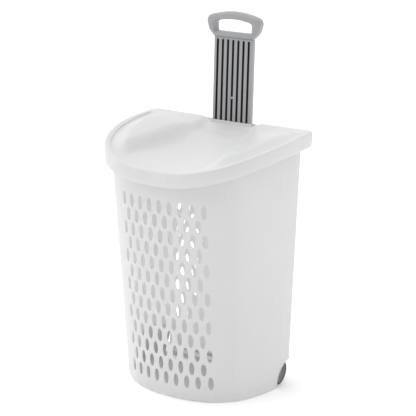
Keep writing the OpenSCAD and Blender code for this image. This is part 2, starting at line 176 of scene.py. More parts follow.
AXLE_Y, AXLE_Z, WHEEL_R, WELL_GAP = 88.0, 36.2, 35.0, 4.0


def mix(a, b, t):
    """a where t is 0, b where t is 1."""
    return a + (b - a) * t


def smooth(t):
    """0 below 0, 1 above 1, and an S-curve between them."""
    t = np.clip(t, 0.0, 1.0)
    return t * t * (3 - 2 * t)


def bezier(a, b, c, d, steps=400):
    """Cubic curve from a to d that leaves towards b and arrives from c."""
    t = np.linspace(0, 1, steps + 1)[:, None]
    a, b, c, d = (np.asarray(p, float) for p in (a, b, c, d))
    return (1 - t) ** 3 * a + 3 * (1 - t) ** 2 * t * b + 3 * (1 - t) * t * t * c + t ** 3 * d


def evened(curve, steps):
    """The same curve with points at equal distances along it."""
    run = np.r_[0, np.cumsum(np.hypot(*np.diff(curve, axis=0).T))]
    at = np.linspace(0, run[-1], steps + 1)
    return np.c_[np.interp(at, run, curve[:, 0]), np.interp(at, run, curve[:, 1])]


def arc(centre, radius, start, end, steps):
    """Points on a circle from one angle to another, in degrees."""
    a = np.radians(np.linspace(start, end, steps + 1))
    return np.c_[centre[0] + radius * np.cos(a), centre[1] + radius * np.sin(a)]


def plan_stretches(size, steps):
    """Right half of the plan as five stretches: bow front, its plain end, side, corner, back."""
    crease = np.array(size["crease"])
    bow = bezier((0, size["front"]), (97, size["front"]),
                 crease - 48 * np.sqrt(0.5) * np.ones(2), crease, 4000)
    split = np.interp(FRONT_EDGE, bow[:, 0], np.arange(len(bow)))
    join = np.array([FRONT_EDGE, np.interp(FRONT_EDGE, bow[:, 0], bow[:, 1])])
    front = np.c_[np.linspace(0, FRONT_EDGE, steps[0] + 1),
                  np.interp(np.linspace(0, FRONT_EDGE, steps[0] + 1), bow[:, 0], bow[:, 1])]
    turn = np.array([size["half_w"] - CORNER_R, size["back"] - CORNER_R])
    side = bezier(crease, crease + 52 * np.array([0.5, np.sqrt(0.75)]),
                  (size["half_w"], turn[1] - 70), (size["half_w"], turn[1]))
    back = np.array([[turn[0], size["back"]], [BACK_FIELD[1], size["back"]]])
    return [front, evened(np.vstack([[join], bow[int(split) + 1:]]), steps[1]),
            evened(side, steps[2]), arc(turn, CORNER_R, 0, 90, steps[3]), evened(back, steps[4]),
            np.c_[np.linspace(BACK_FIELD[1], 0, steps[5] + 1), np.full(steps[5] + 1, size["back"])]]


def plan_table():
    """Distance along the right half of the wall, and the wall's point at floor and at plan height."""
    dense = (600, 200, 600, 200, 100, 600)
    foot, top = plan_stretches(FOOT, dense), plan_stretches(TOP, dense)
    u, rows, marks = [0.0], [np.r_[foot[0][0], top[0][0]]], [0.0]
    for index, (f, t) in enumerate(zip(foot, top)):
        if index in (0, 5):
            step = np.abs(np.diff(f[:, 0]))
        else:
            step = (np.hypot(*np.diff(f, axis=0).T) + np.hypot(*np.diff(t, axis=0).T)) / 2
        u.extend(u[-1] + np.cumsum(step))
        rows.extend(np.c_[f, t][1:])
        marks.append(u[-1])
    return np.array(u), np.array(rows), marks


PLAN_U, PLAN_ROWS, MARKS = plan_table()


def plan_point(u, z):
    """Point of the outer wall: the foot's and the top's plan mixed by height; left of centre, u < 0."""
    side = np.where(u < 0, -1.0, 1.0)
    fx, fy, tx, ty = (np.interp(np.abs(u), PLAN_U, PLAN_ROWS[:, i]) for i in range(4))
    k = z / PLAN_H
    return np.stack([side * mix(fx, tx, k), mix(fy, ty, k), z + 0 * fx], -1)


def wall_point(u, z, depth):
    """Wall point moved inwards along the wall's normal by depth, and by the foot's rounding."""
    u, z, depth = np.broadcast_arrays(np.asarray(u, float), np.asarray(z, float),
                                      np.asarray(depth, float))
    reach = np.abs(u)
    behind = np.abs(reach - 1.5) * np.sign(reach - 1.5)
    along = plan_point(np.minimum(reach + 1.5, PLAN_U[-1]), z) - plan_point(behind, z)
    upward = plan_point(reach, z + 2) - plan_point(reach, z - 2)
    normal = np.cross(along, upward)
    normal /= np.linalg.norm(normal, axis=-1, keepdims=True)
    lift = np.where((depth > WALL / 2) & (z < FLOOR_BLEND), WALL * (1 - z / FLOOR_BLEND), 0.0)
    low = np.clip(FOOT_R - z, 0, FOOT_R)
    inset = FOOT_R - np.sqrt(FOOT_R ** 2 - low ** 2)
    point = plan_point(reach, z + lift) - normal * (depth + inset)[..., None]
    point[..., 0] *= np.where(u < 0, -1.0, 1.0)
    return point


LID = {"half_w": 243.0, "front": 185.0, "back": 177.0, "rim": 568.0, "back_rise": 17.0,
       "side_rise": 41.0, "saddle_w": 234.0, "edge": 36.0, "corner": 20.0, "scoop": 9.0}


def rim_height(x, y):
    """Saddle of the mouth: rises evenly to the back and with the square of x to the sides."""
    share = np.clip((y + LID["front"]) / (LID["front"] + LID["back"]), 0, 1)
    return (LID["rim"] + LID["back_rise"] * share
            + LID["side_rise"] * mix((x / LID["saddle_w"]) ** 2, 1.0, share ** 4))


def mouth_height(u):
    """Height of the basket's mouth over a place along the wall."""
    p = plan_point(np.asarray(u, float), np.full(np.shape(u), MOUTH_LEVEL))
    return rim_height(p[..., 0], p[..., 1]) + MOUTH_OVER_RIM


def levels(first, rows, below, above, top):
    """Heights of the mesh rows: rounding at the foot, even steps through the holes, rest to top."""
    foot = np.array([0, 0.7, 2.2, 4.8, 9, 16, 24, 34.0])
    low = first - ROW_PITCH / 2
    extra = np.linspace(34, low, below - 6)[1:]
    field = low + np.arange(1, rows * CELL_STEPS + 1) * ROW_PITCH / CELL_STEPS
    fixed = np.r_[foot, extra, field]
    rest = np.linspace(0, 1, above + 1)[1:]
    top = np.asarray(top, float)
    tail = fixed[-1] + (top[..., None] - fixed[-1]) * rest
    return np.concatenate([np.broadcast_to(fixed, top.shape + fixed.shape), tail], -1)


FRONT_LEVELS = dict(first=FRONT_ROW_Z, rows=FRONT_ROWS, below=7, above=10)
BACK_LEVELS = dict(first=BACK_ROW_Z, rows=BACK_ROWS, below=19, above=14)


class Sheet:
    """Collects grids of points and their quads until they are made one mesh."""

    def __init__(self):
        self.points, self.quads, self.count = [], [], 0

    def grid(self, points, flip=False, close=False):
        """Adds quads over a (rows, columns, 3) grid; close joins the last column to the first."""
        rows, columns = points.shape[:2]
        index = self.count + np.arange(rows * columns).reshape(rows, columns)
        if close:
            index = np.concatenate([index, index[:, :1]], 1)
        a, b, c, d = index[:-1, :-1], index[:-1, 1:], index[1:, 1:], index[1:, :-1]
        quads = np.stack([a, d, c, b] if flip else [a, b, c, d], -1).reshape(-1, 4)
        self.points.append(points.reshape(-1, 3))
        self.quads.append(quads)
        self.count += rows * columns

    def both(self, points, flip=False, close=False):
        """The grid and its mirror image on the other side of the middle plane."""
        self.grid(points, flip, close)
        self.grid(points * [-1, 1, 1], not flip, close)

    def made(self, name, smooth_angle=38):
        """The mesh object, in metres, welded where grids meet and smooth over soft edges."""
        mesh = bpy.data.meshes.new(name)
        points = np.concatenate(self.points) * MM
        quads = np.concatenate(self.quads)
        mesh.vertices.add(len(points))
        mesh.vertices.foreach_set("co", points.ravel())
        mesh.loops.add(quads.size)
        mesh.loops.foreach_set("vertex_index", quads.ravel())
        mesh.polygons.add(len(quads))
        mesh.polygons.foreach_set("loop_start", np.arange(0, quads.size, 4))
        mesh.update(calc_edges=True)
        work = bmesh.new()
        work.from_mesh(mesh)
        bmesh.ops.remove_doubles(work, verts=work.verts, dist=WELD * MM)
        bmesh.ops.dissolve_degenerate(work, edges=work.edges, dist=WELD * MM / 4)
        work.to_mesh(mesh)
        work.free()
        piece = linked(name, mesh)
        softened(piece, smooth_angle)
        return piece


def softened(piece, angle=38):
    """Shades smooth, with edges sharper than the angle kept crisp."""
    piece.data.polygons.foreach_set("use_smooth", np.ones(len(piece.data.polygons), bool))
    piece.data.set_sharp_from_angle(angle=math.radians(angle))


def baked(piece):
    """Applies the piece's modifiers."""
    graph = bpy.context.evaluated_depsgraph_get()
    mesh = bpy.data.meshes.new_from_object(piece.evaluated_get(graph))
    piece.modifiers.clear()
    piece.data = mesh
    return piece


def bevelled(piece, width):
    """Rounds off the piece's sharp edges."""
    edge = piece.modifiers.new("edge", "BEVEL")
    edge.width = width * MM
    edge.segments = 2
    edge.limit_method = "ANGLE"
    edge.angle_limit = math.radians(40)
    return baked(piece)


def face_vectors(piece, what):
    """One vector for each face of the piece: its "center" or its "normal"."""
    found = np.zeros(len(piece.data.polygons) * 3)
    piece.data.polygons.foreach_get(what, found)
    return found.reshape(-1, 3)


def cell_rings():
    """Rings of (u, z, depth) offsets from a cell's edge over the oval's lip and through the wall."""
    step = np.linspace(-1, 1, CELL_STEPS + 1)[:-1]
    edge = np.concatenate([np.stack([0 * step + 1, step], -1), np.stack([-step, 0 * step + 1], -1),
                           np.stack([0 * step - 1, -step], -1), np.stack([step, 0 * step - 1], -1)])
    angle = np.arctan2(edge[:, 1], edge[:, 0])
    frame_edge = edge * [HOLE_PITCH / 2, ROW_PITCH / 2]

    def oval(grow):
        return np.stack([(HOLE_W / 2 + grow) * np.cos(angle),
                         (HOLE_H / 2 + grow) * np.sin(angle)], -1)

    rings = [(frame_edge, 0), (mix(frame_edge, oval(0.9), 0.55), 0), (oval(0.9), 0),
             (oval(0.35), 0.15), (oval(0.08), 0.5), (oval(0), 1.1), (oval(0), WALL - 0.7),
             (oval(0.3), WALL - 0.15), (oval(0.7), WALL), (frame_edge, WALL)]
    return np.stack([np.c_[shape, np.full(len(shape), depth)] for shape, depth in rings])


def hole_cells(sheet, centres, z, squeeze, mirrored=False):
    """One pierced cell at each place along the wall; squeeze narrows u to keep the oval's width."""
    rings = cell_rings()
    for u, narrow in zip(centres, squeeze):
        across = rings[..., 0].copy()
        across[1:-1] *= narrow
        points = wall_point(u + across, z + rings[..., 1], rings[..., 2])
        if mirrored:
            sheet.both(points, close=True)
        else:
            sheet.grid(points, close=True)


def plain_patch(sheet, columns, heights, mirrored=False):
    """Outer and inner skins over columns of the wall and rows of heights (columns, rows)."""
    for depth, flip in ((0.0, False), (WALL, True)):
        z = heights if depth == 0 else heights + inner_gain(columns, heights)
        points = wall_point(columns[None, :], z.T, depth)
        (sheet.both if mirrored else sheet.grid)(points, flip)


def beside_holes(sheet, columns, z, mirrored=False):
    """Plain half cell at the end of a short row of holes."""
    heights = np.tile(z + np.linspace(-0.5, 0.5, CELL_STEPS + 1) * ROW_PITCH, (len(columns), 1))
    plain_patch(sheet, columns, heights, mirrored)


LIP_DROP = 9.0
INNER_DROP = 1.2


def inner_gain(columns, heights):
    """The inner skin runs a little higher than the outer one, up to the flange's inner edge."""
    top = (mouth_height(columns) - LIP_DROP)[:, None]
    start = np.where(columns > MARKS[4] - 1e-6, 513.0, 528.0)[:, None]
    return (LIP_DROP - INNER_DROP) * np.clip((heights - start) / (top - start), 0, 1)


def basket_columns():
    """Places of the mesh columns along the right half of the wall, stretch by stretch."""
    counts = (36, 6, 16, 8, 5)
    parts = [np.linspace(MARKS[i], MARKS[i + 1], n + 1) for i, n in enumerate(counts)]
    back = MARKS[5] + np.r_[np.linspace(0, BACK_FIELD[1] - BACK_FIELD[0], 25),
                            np.linspace(BACK_FIELD[1] - BACK_FIELD[0], BACK_FIELD[1], 11)[1:]]
    return parts, back


def add_front(sheet):
    """Bow front: seven rows of nine holes and six rows of eight between them."""
    edge = np.linspace(-FRONT_EDGE, FRONT_EDGE, 9 * CELL_STEPS + 1)
    slope = plan_point(np.abs(edge) + 1, 300.0)[:, 1] - plan_point(np.abs(edge) - 1, 300.0)[:, 1]
    narrow = 1 / np.hypot(1, slope / 2)
    for row in range(FRONT_ROWS):
        half = (row % 2) / 2
        z = FRONT_ROW_Z + row * ROW_PITCH
        places = np.arange(-4 + half, 4.1 - half) * HOLE_PITCH
        hole_cells(sheet, places, z, np.interp(places, edge, narrow))
        if half:
            for side in (-1, 1):
                columns = side * np.linspace(4, 4.5, CELL_STEPS // 2 + 1) * HOLE_PITCH
                beside_holes(sheet, np.sort(columns), z)
    heights = levels(top=mouth_height(edge) - LIP_DROP, **FRONT_LEVELS)
    plain_patch(sheet, edge, heights[:, :8])
    plain_patch(sheet, edge, heights[:, 7 + FRONT_ROWS * CELL_STEPS:])


def add_sides_and_back(sheet):
    """Plain sides, round back corners, pierced fields each side of the guide, plain middle."""
    parts, back = basket_columns()
    side = np.concatenate([parts[1]] + [p[1:] for p in parts[2:]])
    top = mouth_height(side) - LIP_DROP
    share = np.linspace(0, 1, len(side))[:, None]
    heights = mix(levels(top=top, **FRONT_LEVELS), levels(top=top, **BACK_LEVELS), share)
    plain_patch(sheet, side, heights, mirrored=True)
    heights = levels(top=mouth_height(back) - LIP_DROP, **BACK_LEVELS)
    plain_patch(sheet, back[:25], heights[:25, :20], mirrored=True)
    plain_patch(sheet, back[:25], heights[:25, 19 + BACK_ROWS * CELL_STEPS:], mirrored=True)
    plain_patch(sheet, back[24:], heights[24:], mirrored=True)
    for row in range(BACK_ROWS):
        half = (row % 2) / 2
        z = BACK_ROW_Z + row * ROW_PITCH
        places = MARKS[5] + (np.arange(half, 2.1 - half) + 0.5) * HOLE_PITCH
        hole_cells(sheet, places, z, np.ones(len(places)), mirrored=True)
        if half:
            for start in (0, 2.5):
                columns = start + np.linspace(0, 0.5, CELL_STEPS // 2 + 1)
                beside_holes(sheet, MARKS[5] + columns * HOLE_PITCH, z, mirrored=True)


def add_mouth_and_floor(sheet):
    """Flange with its turned-down lip, carried round the mouth, and the flat floor panel."""
    parts, back = basket_columns()
    columns = np.concatenate([parts[0]] + [p[1:] for p in parts[1:]] + [back[1:]])
    profile = np.array([(0, -9), (0.4, -5.2), (1.8, -3.7), (4.8, -3.2), (5.8, -3.7), (6, -5),
                        (6, -8.6), (6.4, -9.2), (7.6, -9.2), (8, -8.6), (8, -1.6), (7.4, -0.4),
                        (6, 0), (-1.6, 0), (-2.3, -0.3), (-2.6, -1.2)])
    profile[4:14, 0] -= 1.0
    top = mouth_height(columns)
    rings = wall_point(columns[None, :], top[None, :] + profile[:, 1:], -profile[:, :1])
    sheet.both(rings)
    for depth, flip in ((0.0, True), (WALL, False)):
        edge = wall_point(columns, 0.0, depth)
        shares = np.array([0, 0.04, 0.2, 0.45, 0.75, 1.0])[:, None, None]
        middle = np.array([0.0, 10.0, edge[0, 2]])
        sheet.both(mix(edge[None], middle[None, None], shares), flip)


def box_mesh(low, high):
    """Closed box between two corners, as points and quads."""
    x, y, z = (np.array(v) for v in zip(low, high))
    points = np.array([(x[i], y[j], z[k]) for k in (0, 1) for j in (0, 1) for i in (0, 1)], float)
    quads = [(0, 2, 3, 1), (4, 5, 7, 6), (0, 1, 5, 4), (1, 3, 7, 5), (3, 2, 6, 7), (2, 0, 4, 6)]
    return points, quads


def solid(name, points, faces):
    """Mesh object from points in millimetres and faces of any number of corners."""
    mesh = bpy.data.meshes.new(name)
    mesh.from_pydata((np.asarray(points) * MM).tolist(), [], [tuple(f) for f in faces])
    return linked(name, mesh)


def prism(name, outline, x0, x1, bevel=0.0):
    """An outline in the (y, z) plane carried along X, with its long edges softened."""
    n = len(outline)
    following = np.roll(outline, -1, 0)
    area = np.sum(outline[:, 0] * following[:, 1] - following[:, 0] * outline[:, 1])
    outline = outline if area > 0 else outline[::-1]
    points = np.concatenate([np.c_[np.full(n, x), outline] for x in (x0, x1)])
    faces = [tuple(range(n))[::-1], tuple(range(n, 2 * n))]
    faces += [(i, (i + 1) % n, n + (i + 1) % n, n + i) for i in range(n)]
    piece = solid(name, points, faces)
    if bevel:
        bevelled(piece, bevel)
    softened(piece)
    return piece


def cut_away(piece, cutters):
    """Cuts each cutter out of the piece and removes the cutter."""
    for cutter in cutters:
        cut = piece.modifiers.new("cut", "BOOLEAN")
        cut.operation = "DIFFERENCE"
        cut.solver = "MANIFOLD"
        cut.object = cutter
        baked(piece)
        bpy.data.objects.remove(cutter)
    softened(piece)
    return piece


def joined(name, pieces):
    """Several meshes as one piece."""
    work = bmesh.new()
    for piece in pieces:
        work.from_mesh(piece.data)
    mesh = bpy.data.meshes.new(name)
    work.to_mesh(mesh)
    work.free()
    for piece in pieces:
        bpy.data.objects.remove(piece)
    whole = linked(name, mesh)
    softened(whole)
    return whole


def corner_cutters():
    """Open back corner, wheel slot in the floor and axle slot, each side."""
    cutters = []
    for side in (-1, 1):
        near, far = sorted((side * WELL_X, side * PAST_SIDE))
        cutters.append(prism("cut", arc((CUT_Y, CUT_Z), CUT_R, 0, 352, 88), near, far))
        near, far = sorted((side * WELL_X, side * (FOOT["half_w"] - 12)))
        reach = WHEEL_R + WELL_GAP
        slot = box_mesh((near, AXLE_Y - reach, -2), (far, AXLE_Y + reach, 12))
        cutters.append(solid("cut", *slot))
    slot = box_mesh((-WELL_X + 17, AXLE_Y - 7, -2), (WELL_X - 17, AXLE_Y + 7, 6))
    cutters.append(solid("cut", *slot))
    return cutters


def node_group(name, inputs, outputs):
    """An empty shader group with the given inputs and outputs."""
    group = bpy.data.node_groups.new(name, "ShaderNodeTree")
    for label, kind, value in inputs:
        socket = group.interface.new_socket(label, in_out="INPUT", socket_type=kind)
        if value is not None:
            socket.default_value = value
    for label, kind in outputs:
        group.interface.new_socket(label, in_out="OUTPUT", socket_type=kind)
    return group, group.nodes.new("NodeGroupInput"), group.nodes.new("NodeGroupOutput")


def noise(tree, vector, scale, detail=3.0, rough=0.5):
    """A noise texture on the given coordinates."""
    node = tree.nodes.new("ShaderNodeTexNoise")
    node.inputs["Scale"].default_value = scale
    node.inputs["Detail"].default_value = detail
    node.inputs["Roughness"].default_value = rough
    tree.links.new(vector, node.inputs["Vector"])
    return node.outputs["Fac"]


def ranged(tree, value, low, high, to_low=0.0, to_high=1.0):
    """The value remapped from one range to another, and held at the ends."""
    node = tree.nodes.new("ShaderNodeMapRange")
    limits = {"From Min": low, "From Max": high, "To Min": to_low, "To Max": to_high}
    for label, number in limits.items():
        node.inputs[label].default_value = number
    tree.links.new(value, node.inputs["Value"])
    return node.outputs["Result"]


def maths(tree, operation, a, b):
    """One arithmetic node; a and b are sockets or numbers."""
    node = tree.nodes.new("ShaderNodeMath")
    node.operation = operation
    for socket, value in zip(node.inputs, (a, b)):
        if isinstance(value, (int, float)):
            socket.default_value = value
        else:
            tree.links.new(value, socket)
    return node.outputs["Value"]


def stretched(tree, vector, scale, rotation=(0.0, 0.0, 0.0)):
    """The coordinates turned and scaled."""
    node = tree.nodes.new("ShaderNodeMapping")
    node.inputs["Scale"].default_value = scale
    node.inputs["Rotation"].default_value = rotation
    tree.links.new(vector, node.inputs["Vector"])
    return node.outputs["Vector"]


def bumped(tree, skin, height, strength, distance):
    """Gives the skin a fine relief."""
    bump = tree.nodes.new("ShaderNodeBump")
    bump.inputs["Strength"].default_value = strength
    bump.inputs["Distance"].default_value = distance
    tree.links.new(height, bump.inputs["Height"])
    tree.links.new(bump.outputs["Normal"], skin.inputs["Normal"])


def moulded_skin_group():
    """Fine orange peel and soft cloudiness of an injection moulding: height, roughness and tone."""
    group, source, sink = node_group(
        "moulded_skin", [("Vector", "NodeSocketVector", None)],
        [("Height", "NodeSocketFloat"), ("Rough", "NodeSocketFloat"), ("Tone", "NodeSocketFloat")])
    vector = source.outputs["Vector"]
    peel = noise(group, vector, 900.0, 2.0)
    fine = noise(group, vector, 3200.0, 2.0)
    cloud = noise(group, vector, 7.0, 4.0)
    peel, fine = maths(group, "MULTIPLY", peel, 0.7), maths(group, "MULTIPLY", fine, 0.3)
    height = maths(group, "ADD", peel, fine)
    group.links.new(height, sink.inputs["Height"])
    group.links.new(ranged(group, cloud, 0.35, 0.65, -0.04, 0.05), sink.inputs["Rough"])
    group.links.new(ranged(group, cloud, 0.3, 0.7, 0.0, 1.0), sink.inputs["Tone"])
    return group


def handling_group():
    """Rubbed patches, hair scratches and floor dust: a scuff mask and a dust mask."""
    group, source, sink = node_group(
        "handling", [("Vector", "NodeSocketVector", None), ("Dust Height", "NodeSocketFloat", 0.06)],
        [("Scuff", "NodeSocketFloat"), ("Dust", "NodeSocketFloat")])
    vector = source.outputs["Vector"]
    stretch = stretched(group, vector, (40.0, 40.0, 260.0), (0.5, 0.3, 0.7))
    hair = ranged(group, noise(group, stretch, 3.0, 4.0, 0.6), 0.66, 0.74)
    patch = ranged(group, noise(group, vector, 11.0, 5.0, 0.62), 0.54, 0.72)
    group.links.new(maths(group, "MULTIPLY", hair, patch), sink.inputs["Scuff"])
    split = group.nodes.new("ShaderNodeSeparateXYZ")
    group.links.new(vector, split.inputs["Vector"])
    low = group.nodes.new("ShaderNodeMapRange")
    low.inputs["To Min"].default_value = 1.0
    low.inputs["To Max"].default_value = 0.0
    group.links.new(split.outputs["Z"], low.inputs["Value"])
    group.links.new(source.outputs["Dust Height"], low.inputs["From Max"])
    speck = ranged(group, noise(group, vector, 60.0, 5.0, 0.7), 0.35, 0.75)
    group.links.new(maths(group, "MULTIPLY", low.outputs["Result"], speck), sink.inputs["Dust"])
    return group


MOULDED_SKIN = moulded_skin_group()
HANDLING = handling_group()


def placed(tree, group, vector):
    """A node group set into a material and fed with coordinates."""
    node = tree.nodes.new("ShaderNodeGroup")
    node.node_tree = group
    tree.links.new(vector, node.inputs["Vector"])
    return node


def tinted(tree, mask, first, second):
    """Colour that goes from first to second with the mask; first may be a socket."""
    node = tree.nodes.new("ShaderNodeMix")
    node.data_type = "RGBA"
    tree.links.new(mask, node.inputs["Factor"])
    for socket, value in ((node.inputs["A"], first), (node.inputs["B"], second)):
        if isinstance(value, tuple):
            socket.default_value = (*value, 1.0)
        else:
            tree.links.new(value, socket)
    return node.outputs["Result"]


def moulded_plastic(name, colour, shade, scuffed, dusty, rough=0.42, peel=0.05, milky=0.0,
                    painted_glow=0.0):
    """Satin polypropylene: clouded tone, orange peel, scuffs that dull it and dust near the floor.

    milky lets light spread under the skin; the last argument is painted light: a glow in the skin's own
    colour that stands in for light the thin wall lets through.
    """
    material, skin = shader(name)
    tree = material.node_tree
    place = object_place(tree)
    grain = placed(tree, MOULDED_SKIN, place)
    marks = placed(tree, HANDLING, place)
    tone = tinted(tree, grain.outputs["Tone"], shade, colour)
    tone = tinted(tree, maths(tree, "MULTIPLY", marks.outputs["Scuff"], 0.5), tone, scuffed)
    tone = tinted(tree, maths(tree, "MULTIPLY", marks.outputs["Dust"], 0.35), tone, dusty)
    tree.links.new(tone, skin.inputs["Base Color"])
    dull = maths(tree, "ADD", grain.outputs["Rough"], rough)
    dull = maths(tree, "ADD", dull, maths(tree, "MULTIPLY", marks.outputs["Scuff"], 0.25))
    tree.links.new(dull, skin.inputs["Roughness"])
    bumped(tree, skin, grain.outputs["Height"], peel, 0.0006)
    skin.inputs["IOR"].default_value = 1.49
    if milky:
        skin.inputs["Subsurface Weight"].default_value = milky
        skin.inputs["Subsurface Radius"].default_value = (1.0, 0.98, 0.95)
        skin.inputs["Subsurface Scale"].default_value = 0.006
    # Painted light: the skin glows evenly in its own colour.
    if painted_glow:
        tree.links.new(tone, skin.inputs["Emission Color"])
        skin.inputs["Emission Strength"].default_value = painted_glow
    return material


def coated(piece, material):
    """Gives the piece one material, whatever it had."""
    piece.data.materials.clear()
    piece.data.materials.append(material)
    return piece


WHITE = moulded_plastic("white_polypropylene", (0.725, 0.726, 0.725), (0.70, 0.703, 0.704),
                        (0.66, 0.66, 0.65), (0.56, 0.55, 0.52), milky=0.2)
# The inner skin's copy of the white: paler, with a painted glow standing in for light inside the
# basket.
INNER_PAINTED_GLOW = moulded_plastic("white_inside_painted_glow", (0.80, 0.80, 0.80), (0.77, 0.775, 0.78),
                         (0.68, 0.68, 0.67), (0.58, 0.57, 0.54), painted_glow=0.22)


def paint_inner_glow(piece):
    """The inner skin, whose faces look towards the basket's middle, takes the second material: the
    paler white with its painted glow.
    """
    normals, centres = face_vectors(piece, "normal"), face_vectors(piece, "center")
    away = centres / np.linalg.norm(centres[:, :2], axis=1, keepdims=True)
    inner = (np.sum(normals[:, :2] * away[:, :2], axis=1) < -0.25) & (centres[:, 2] < 0.6)
    piece.data.polygons.foreach_set("material_index", inner.astype(np.int32))


def add_basket():
    """The pierced shell, with its back corners cut open for the wheels."""
    sheet = Sheet()
    add_front(sheet)
    add_sides_and_back(sheet)
    add_mouth_and_floor(sheet)
    shell = sheet.made("basket_shell")
    cut_away(shell, corner_cutters())
    coated(shell, WHITE)
    shell.data.materials.append(INNER_PAINTED_GLOW)
    paint_inner_glow(shell)
    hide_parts("basket")
    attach(shell, "basket_body")


add_basket()

# ---------------------------------------------------------------------------------------------
# Wheel housings: the same moulding turned inwards round each wheel, as an arch that runs out at
# the back corner. A thin rounded lip stiffens the edge of the opening in the side and back walls.
# ---------------------------------------------------------------------------------------------
POCKET_R = WHEEL_R + WELL_GAP


def side_x(y, z):
    """Outer face of the side wall at (y, z), from the plan at that height."""
    run = (PLAN_U > MARKS[1]) & (PLAN_U < MARKS[4])
    u = PLAN_U[run]
    found = []
    for a, b in zip(np.ravel(y), np.ravel(z)):
        line = plan_point(u, b)
        found.append(np.interp(a, line[:, 1], line[:, 0]))
    return np.array(found)


def arch_outline():
    """Edge of the two circles' union in (y, z): up the pocket's front, over it and to the back wall."""
    gap = np.array([CUT_Y - AXLE_Y, CUT_Z - AXLE_Z])
    span = np.hypot(*gap)
    along = (span ** 2 + POCKET_R ** 2 - CUT_R ** 2) / (2 * span)
    height = np.sqrt(POCKET_R ** 2 - along ** 2)
    square = np.array([-gap[1], gap[0]])
    meet = np.array([AXLE_Y, AXLE_Z]) + gap / span * along + height * square / span
    first = np.degrees(np.arctan2(meet[1] - AXLE_Z, meet[0] - AXLE_Y))
    second = np.degrees(np.arctan2(meet[1] - CUT_Z, meet[0] - CUT_Y))
    rise = np.c_[np.full(7, AXLE_Y - POCKET_R), np.linspace(1.2, AXLE_Z, 7)]
    over = arc((AXLE_Y, AXLE_Z), POCKET_R, 180, first, 22)
    last = np.degrees(np.arccos((FOOT["back"] + 1.6 - CUT_Y) / CUT_R))
    end = arc((CUT_Y, CUT_Z), CUT_R, second, last, 14)
    return np.vstack([rise, over[1:], end[1:]])


def tube(path, radius, name):
    """Round section carried along a path: centre plus radius times two vectors square to its run."""
    run = np.gradient(path, axis=0)
    run /= np.linalg.norm(run, axis=1, keepdims=True)
    across = np.cross(run, [0.31, 0.17, 0.93])
    across /= np.linalg.norm(across, axis=1, keepdims=True)
    over = np.cross(run, across)
    a = np.linspace(0, 2 * np.pi, TUBE_SIDES + 1)[:-1, None]
    ring = path[:, None] + radius * (np.cos(a) * across[:, None] + np.sin(a) * over[:, None])
    ring = np.concatenate([np.repeat(path[:1, None], TUBE_SIDES, 1), ring,
                           np.repeat(path[-1:, None], TUBE_SIDES, 1)])
    sheet = Sheet()
    sheet.grid(ring, flip=True, close=True)
    return sheet.made(name)


def add_wheel_housing(side):
    """Arch, its inner end wall and the lip; all in the basket's own plastic."""
    line = arch_outline()
    far = np.maximum(side_x(line[:, 0], np.maximum(line[:, 1], 9.5)) - WALL - 0.1, WELL_X + 4)
    shares = np.linspace(0, 1, 6)[:, None]
    x = mix(WELL_X, far[None, :], shares)
    wall = np.stack(np.broadcast_arrays(x, line[:, 0], line[:, 1]), -1)
    middle = np.array([WELL_X, AXLE_Y + 8, 1.2])
    cap = mix(wall[0][None], middle[None, None], np.linspace(0, 1, 4)[:, None, None])
    sheet = Sheet()
    for part, flip in ((wall, False), (cap, True)):
        sheet.grid(part * [side, 1, 1], flip if side > 0 else not flip)
    name = "wheel_housing_left" if side < 0 else "wheel_housing_right"
    housing = sheet.made(name)
    shell = housing.modifiers.new("wall", "SOLIDIFY")
    shell.thickness = 2.4 * MM
    shell.offset = -1.0
    baked(housing)
    corner_to_middle = slice(-1301, None)
    end = np.interp(-WELL_X, -PLAN_ROWS[corner_to_middle, 0], PLAN_U[corner_to_middle])
    u = np.linspace(MARKS[2] + 60, MARKS[5] + BACK_FIELD[1] - WELL_X, 400)
    u = u[u < end]
    flat = plan_point(u, 30.0)
    reach = CUT_R ** 2 - (flat[:, 1] - CUT_Y) ** 2
    keep = reach > 0
    z = CUT_Z + np.sqrt(reach[keep])
    path = wall_point(u[keep], z, 0.6)
    rise = np.linspace(1.5, path[0, 2] - 1, 36)
    y = CUT_Y - np.sqrt(CUT_R ** 2 - (rise - CUT_Z) ** 2)
    path = np.vstack([wall_point(np.interp(y, flat[:, 1], u), rise, 0.6), path])
    down = np.linspace(path[-1, 2], 1.5, 12)[1:]
    path = np.vstack([path[::6], path[-1:],
                      np.c_[np.full(11, WELL_X), np.full(11, path[-1, 1]), down]])
    path[:, 1] = np.where(path[:, 0] > WELL_X + 0.5, path[:, 1],
                          FOOT["back"] + path[:, 2] * BACK_SLOPE - 0.6)
    lip = tube(path * [side, 1, 1], 1.5, name="lip")
    housing = joined(name, [housing, lip])
    coated(housing, WHITE)
    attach(housing, "basket_body")


add_wheel_housing(-1)
add_wheel_housing(1)

# ---------------------------------------------------------------------------------------------
# Hinge ears and pins: four ears moulded on the outside of the back wall, just under the mouth,
# carry two plain steel pins, pressed in from the side.
# ---------------------------------------------------------------------------------------------
HINGE = np.array([(low + high) / 2 / MM for low, high in zip(*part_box("hinge_pin_right"))])
KNUCKLE_R, LUG_W, EAR_W, EAR_GAP = 6.0, 15.0, 12.0, 0.5


def hull_outline(points):
    """Convex outline round points in a plane, anticlockwise."""
    work = bmesh.new()
    for y, z in points:
        work.verts.new((y, z, 0.0))
    bmesh.ops.convex_hull(work, input=work.verts)
    edge = [v.co.to_2d() for v in work.verts if v.is_valid and v.link_edges]
    work.free()
    points = np.array(sorted({(round(p.x, 5), round(p.y, 5)) for p in edge}))
    chains = []
    for order in (points, points[::-1]):
        chain = []
        for p in order:
            while len(chain) > 1:
                (ax, ay), (bx, by) = chain[-1] - chain[-2], p - chain[-1]
                if ax * by - ay * bx > 0:
                    break
                chain.pop()
            chain.append(p)
        chains += chain[:-1]
    return np.array(chains)


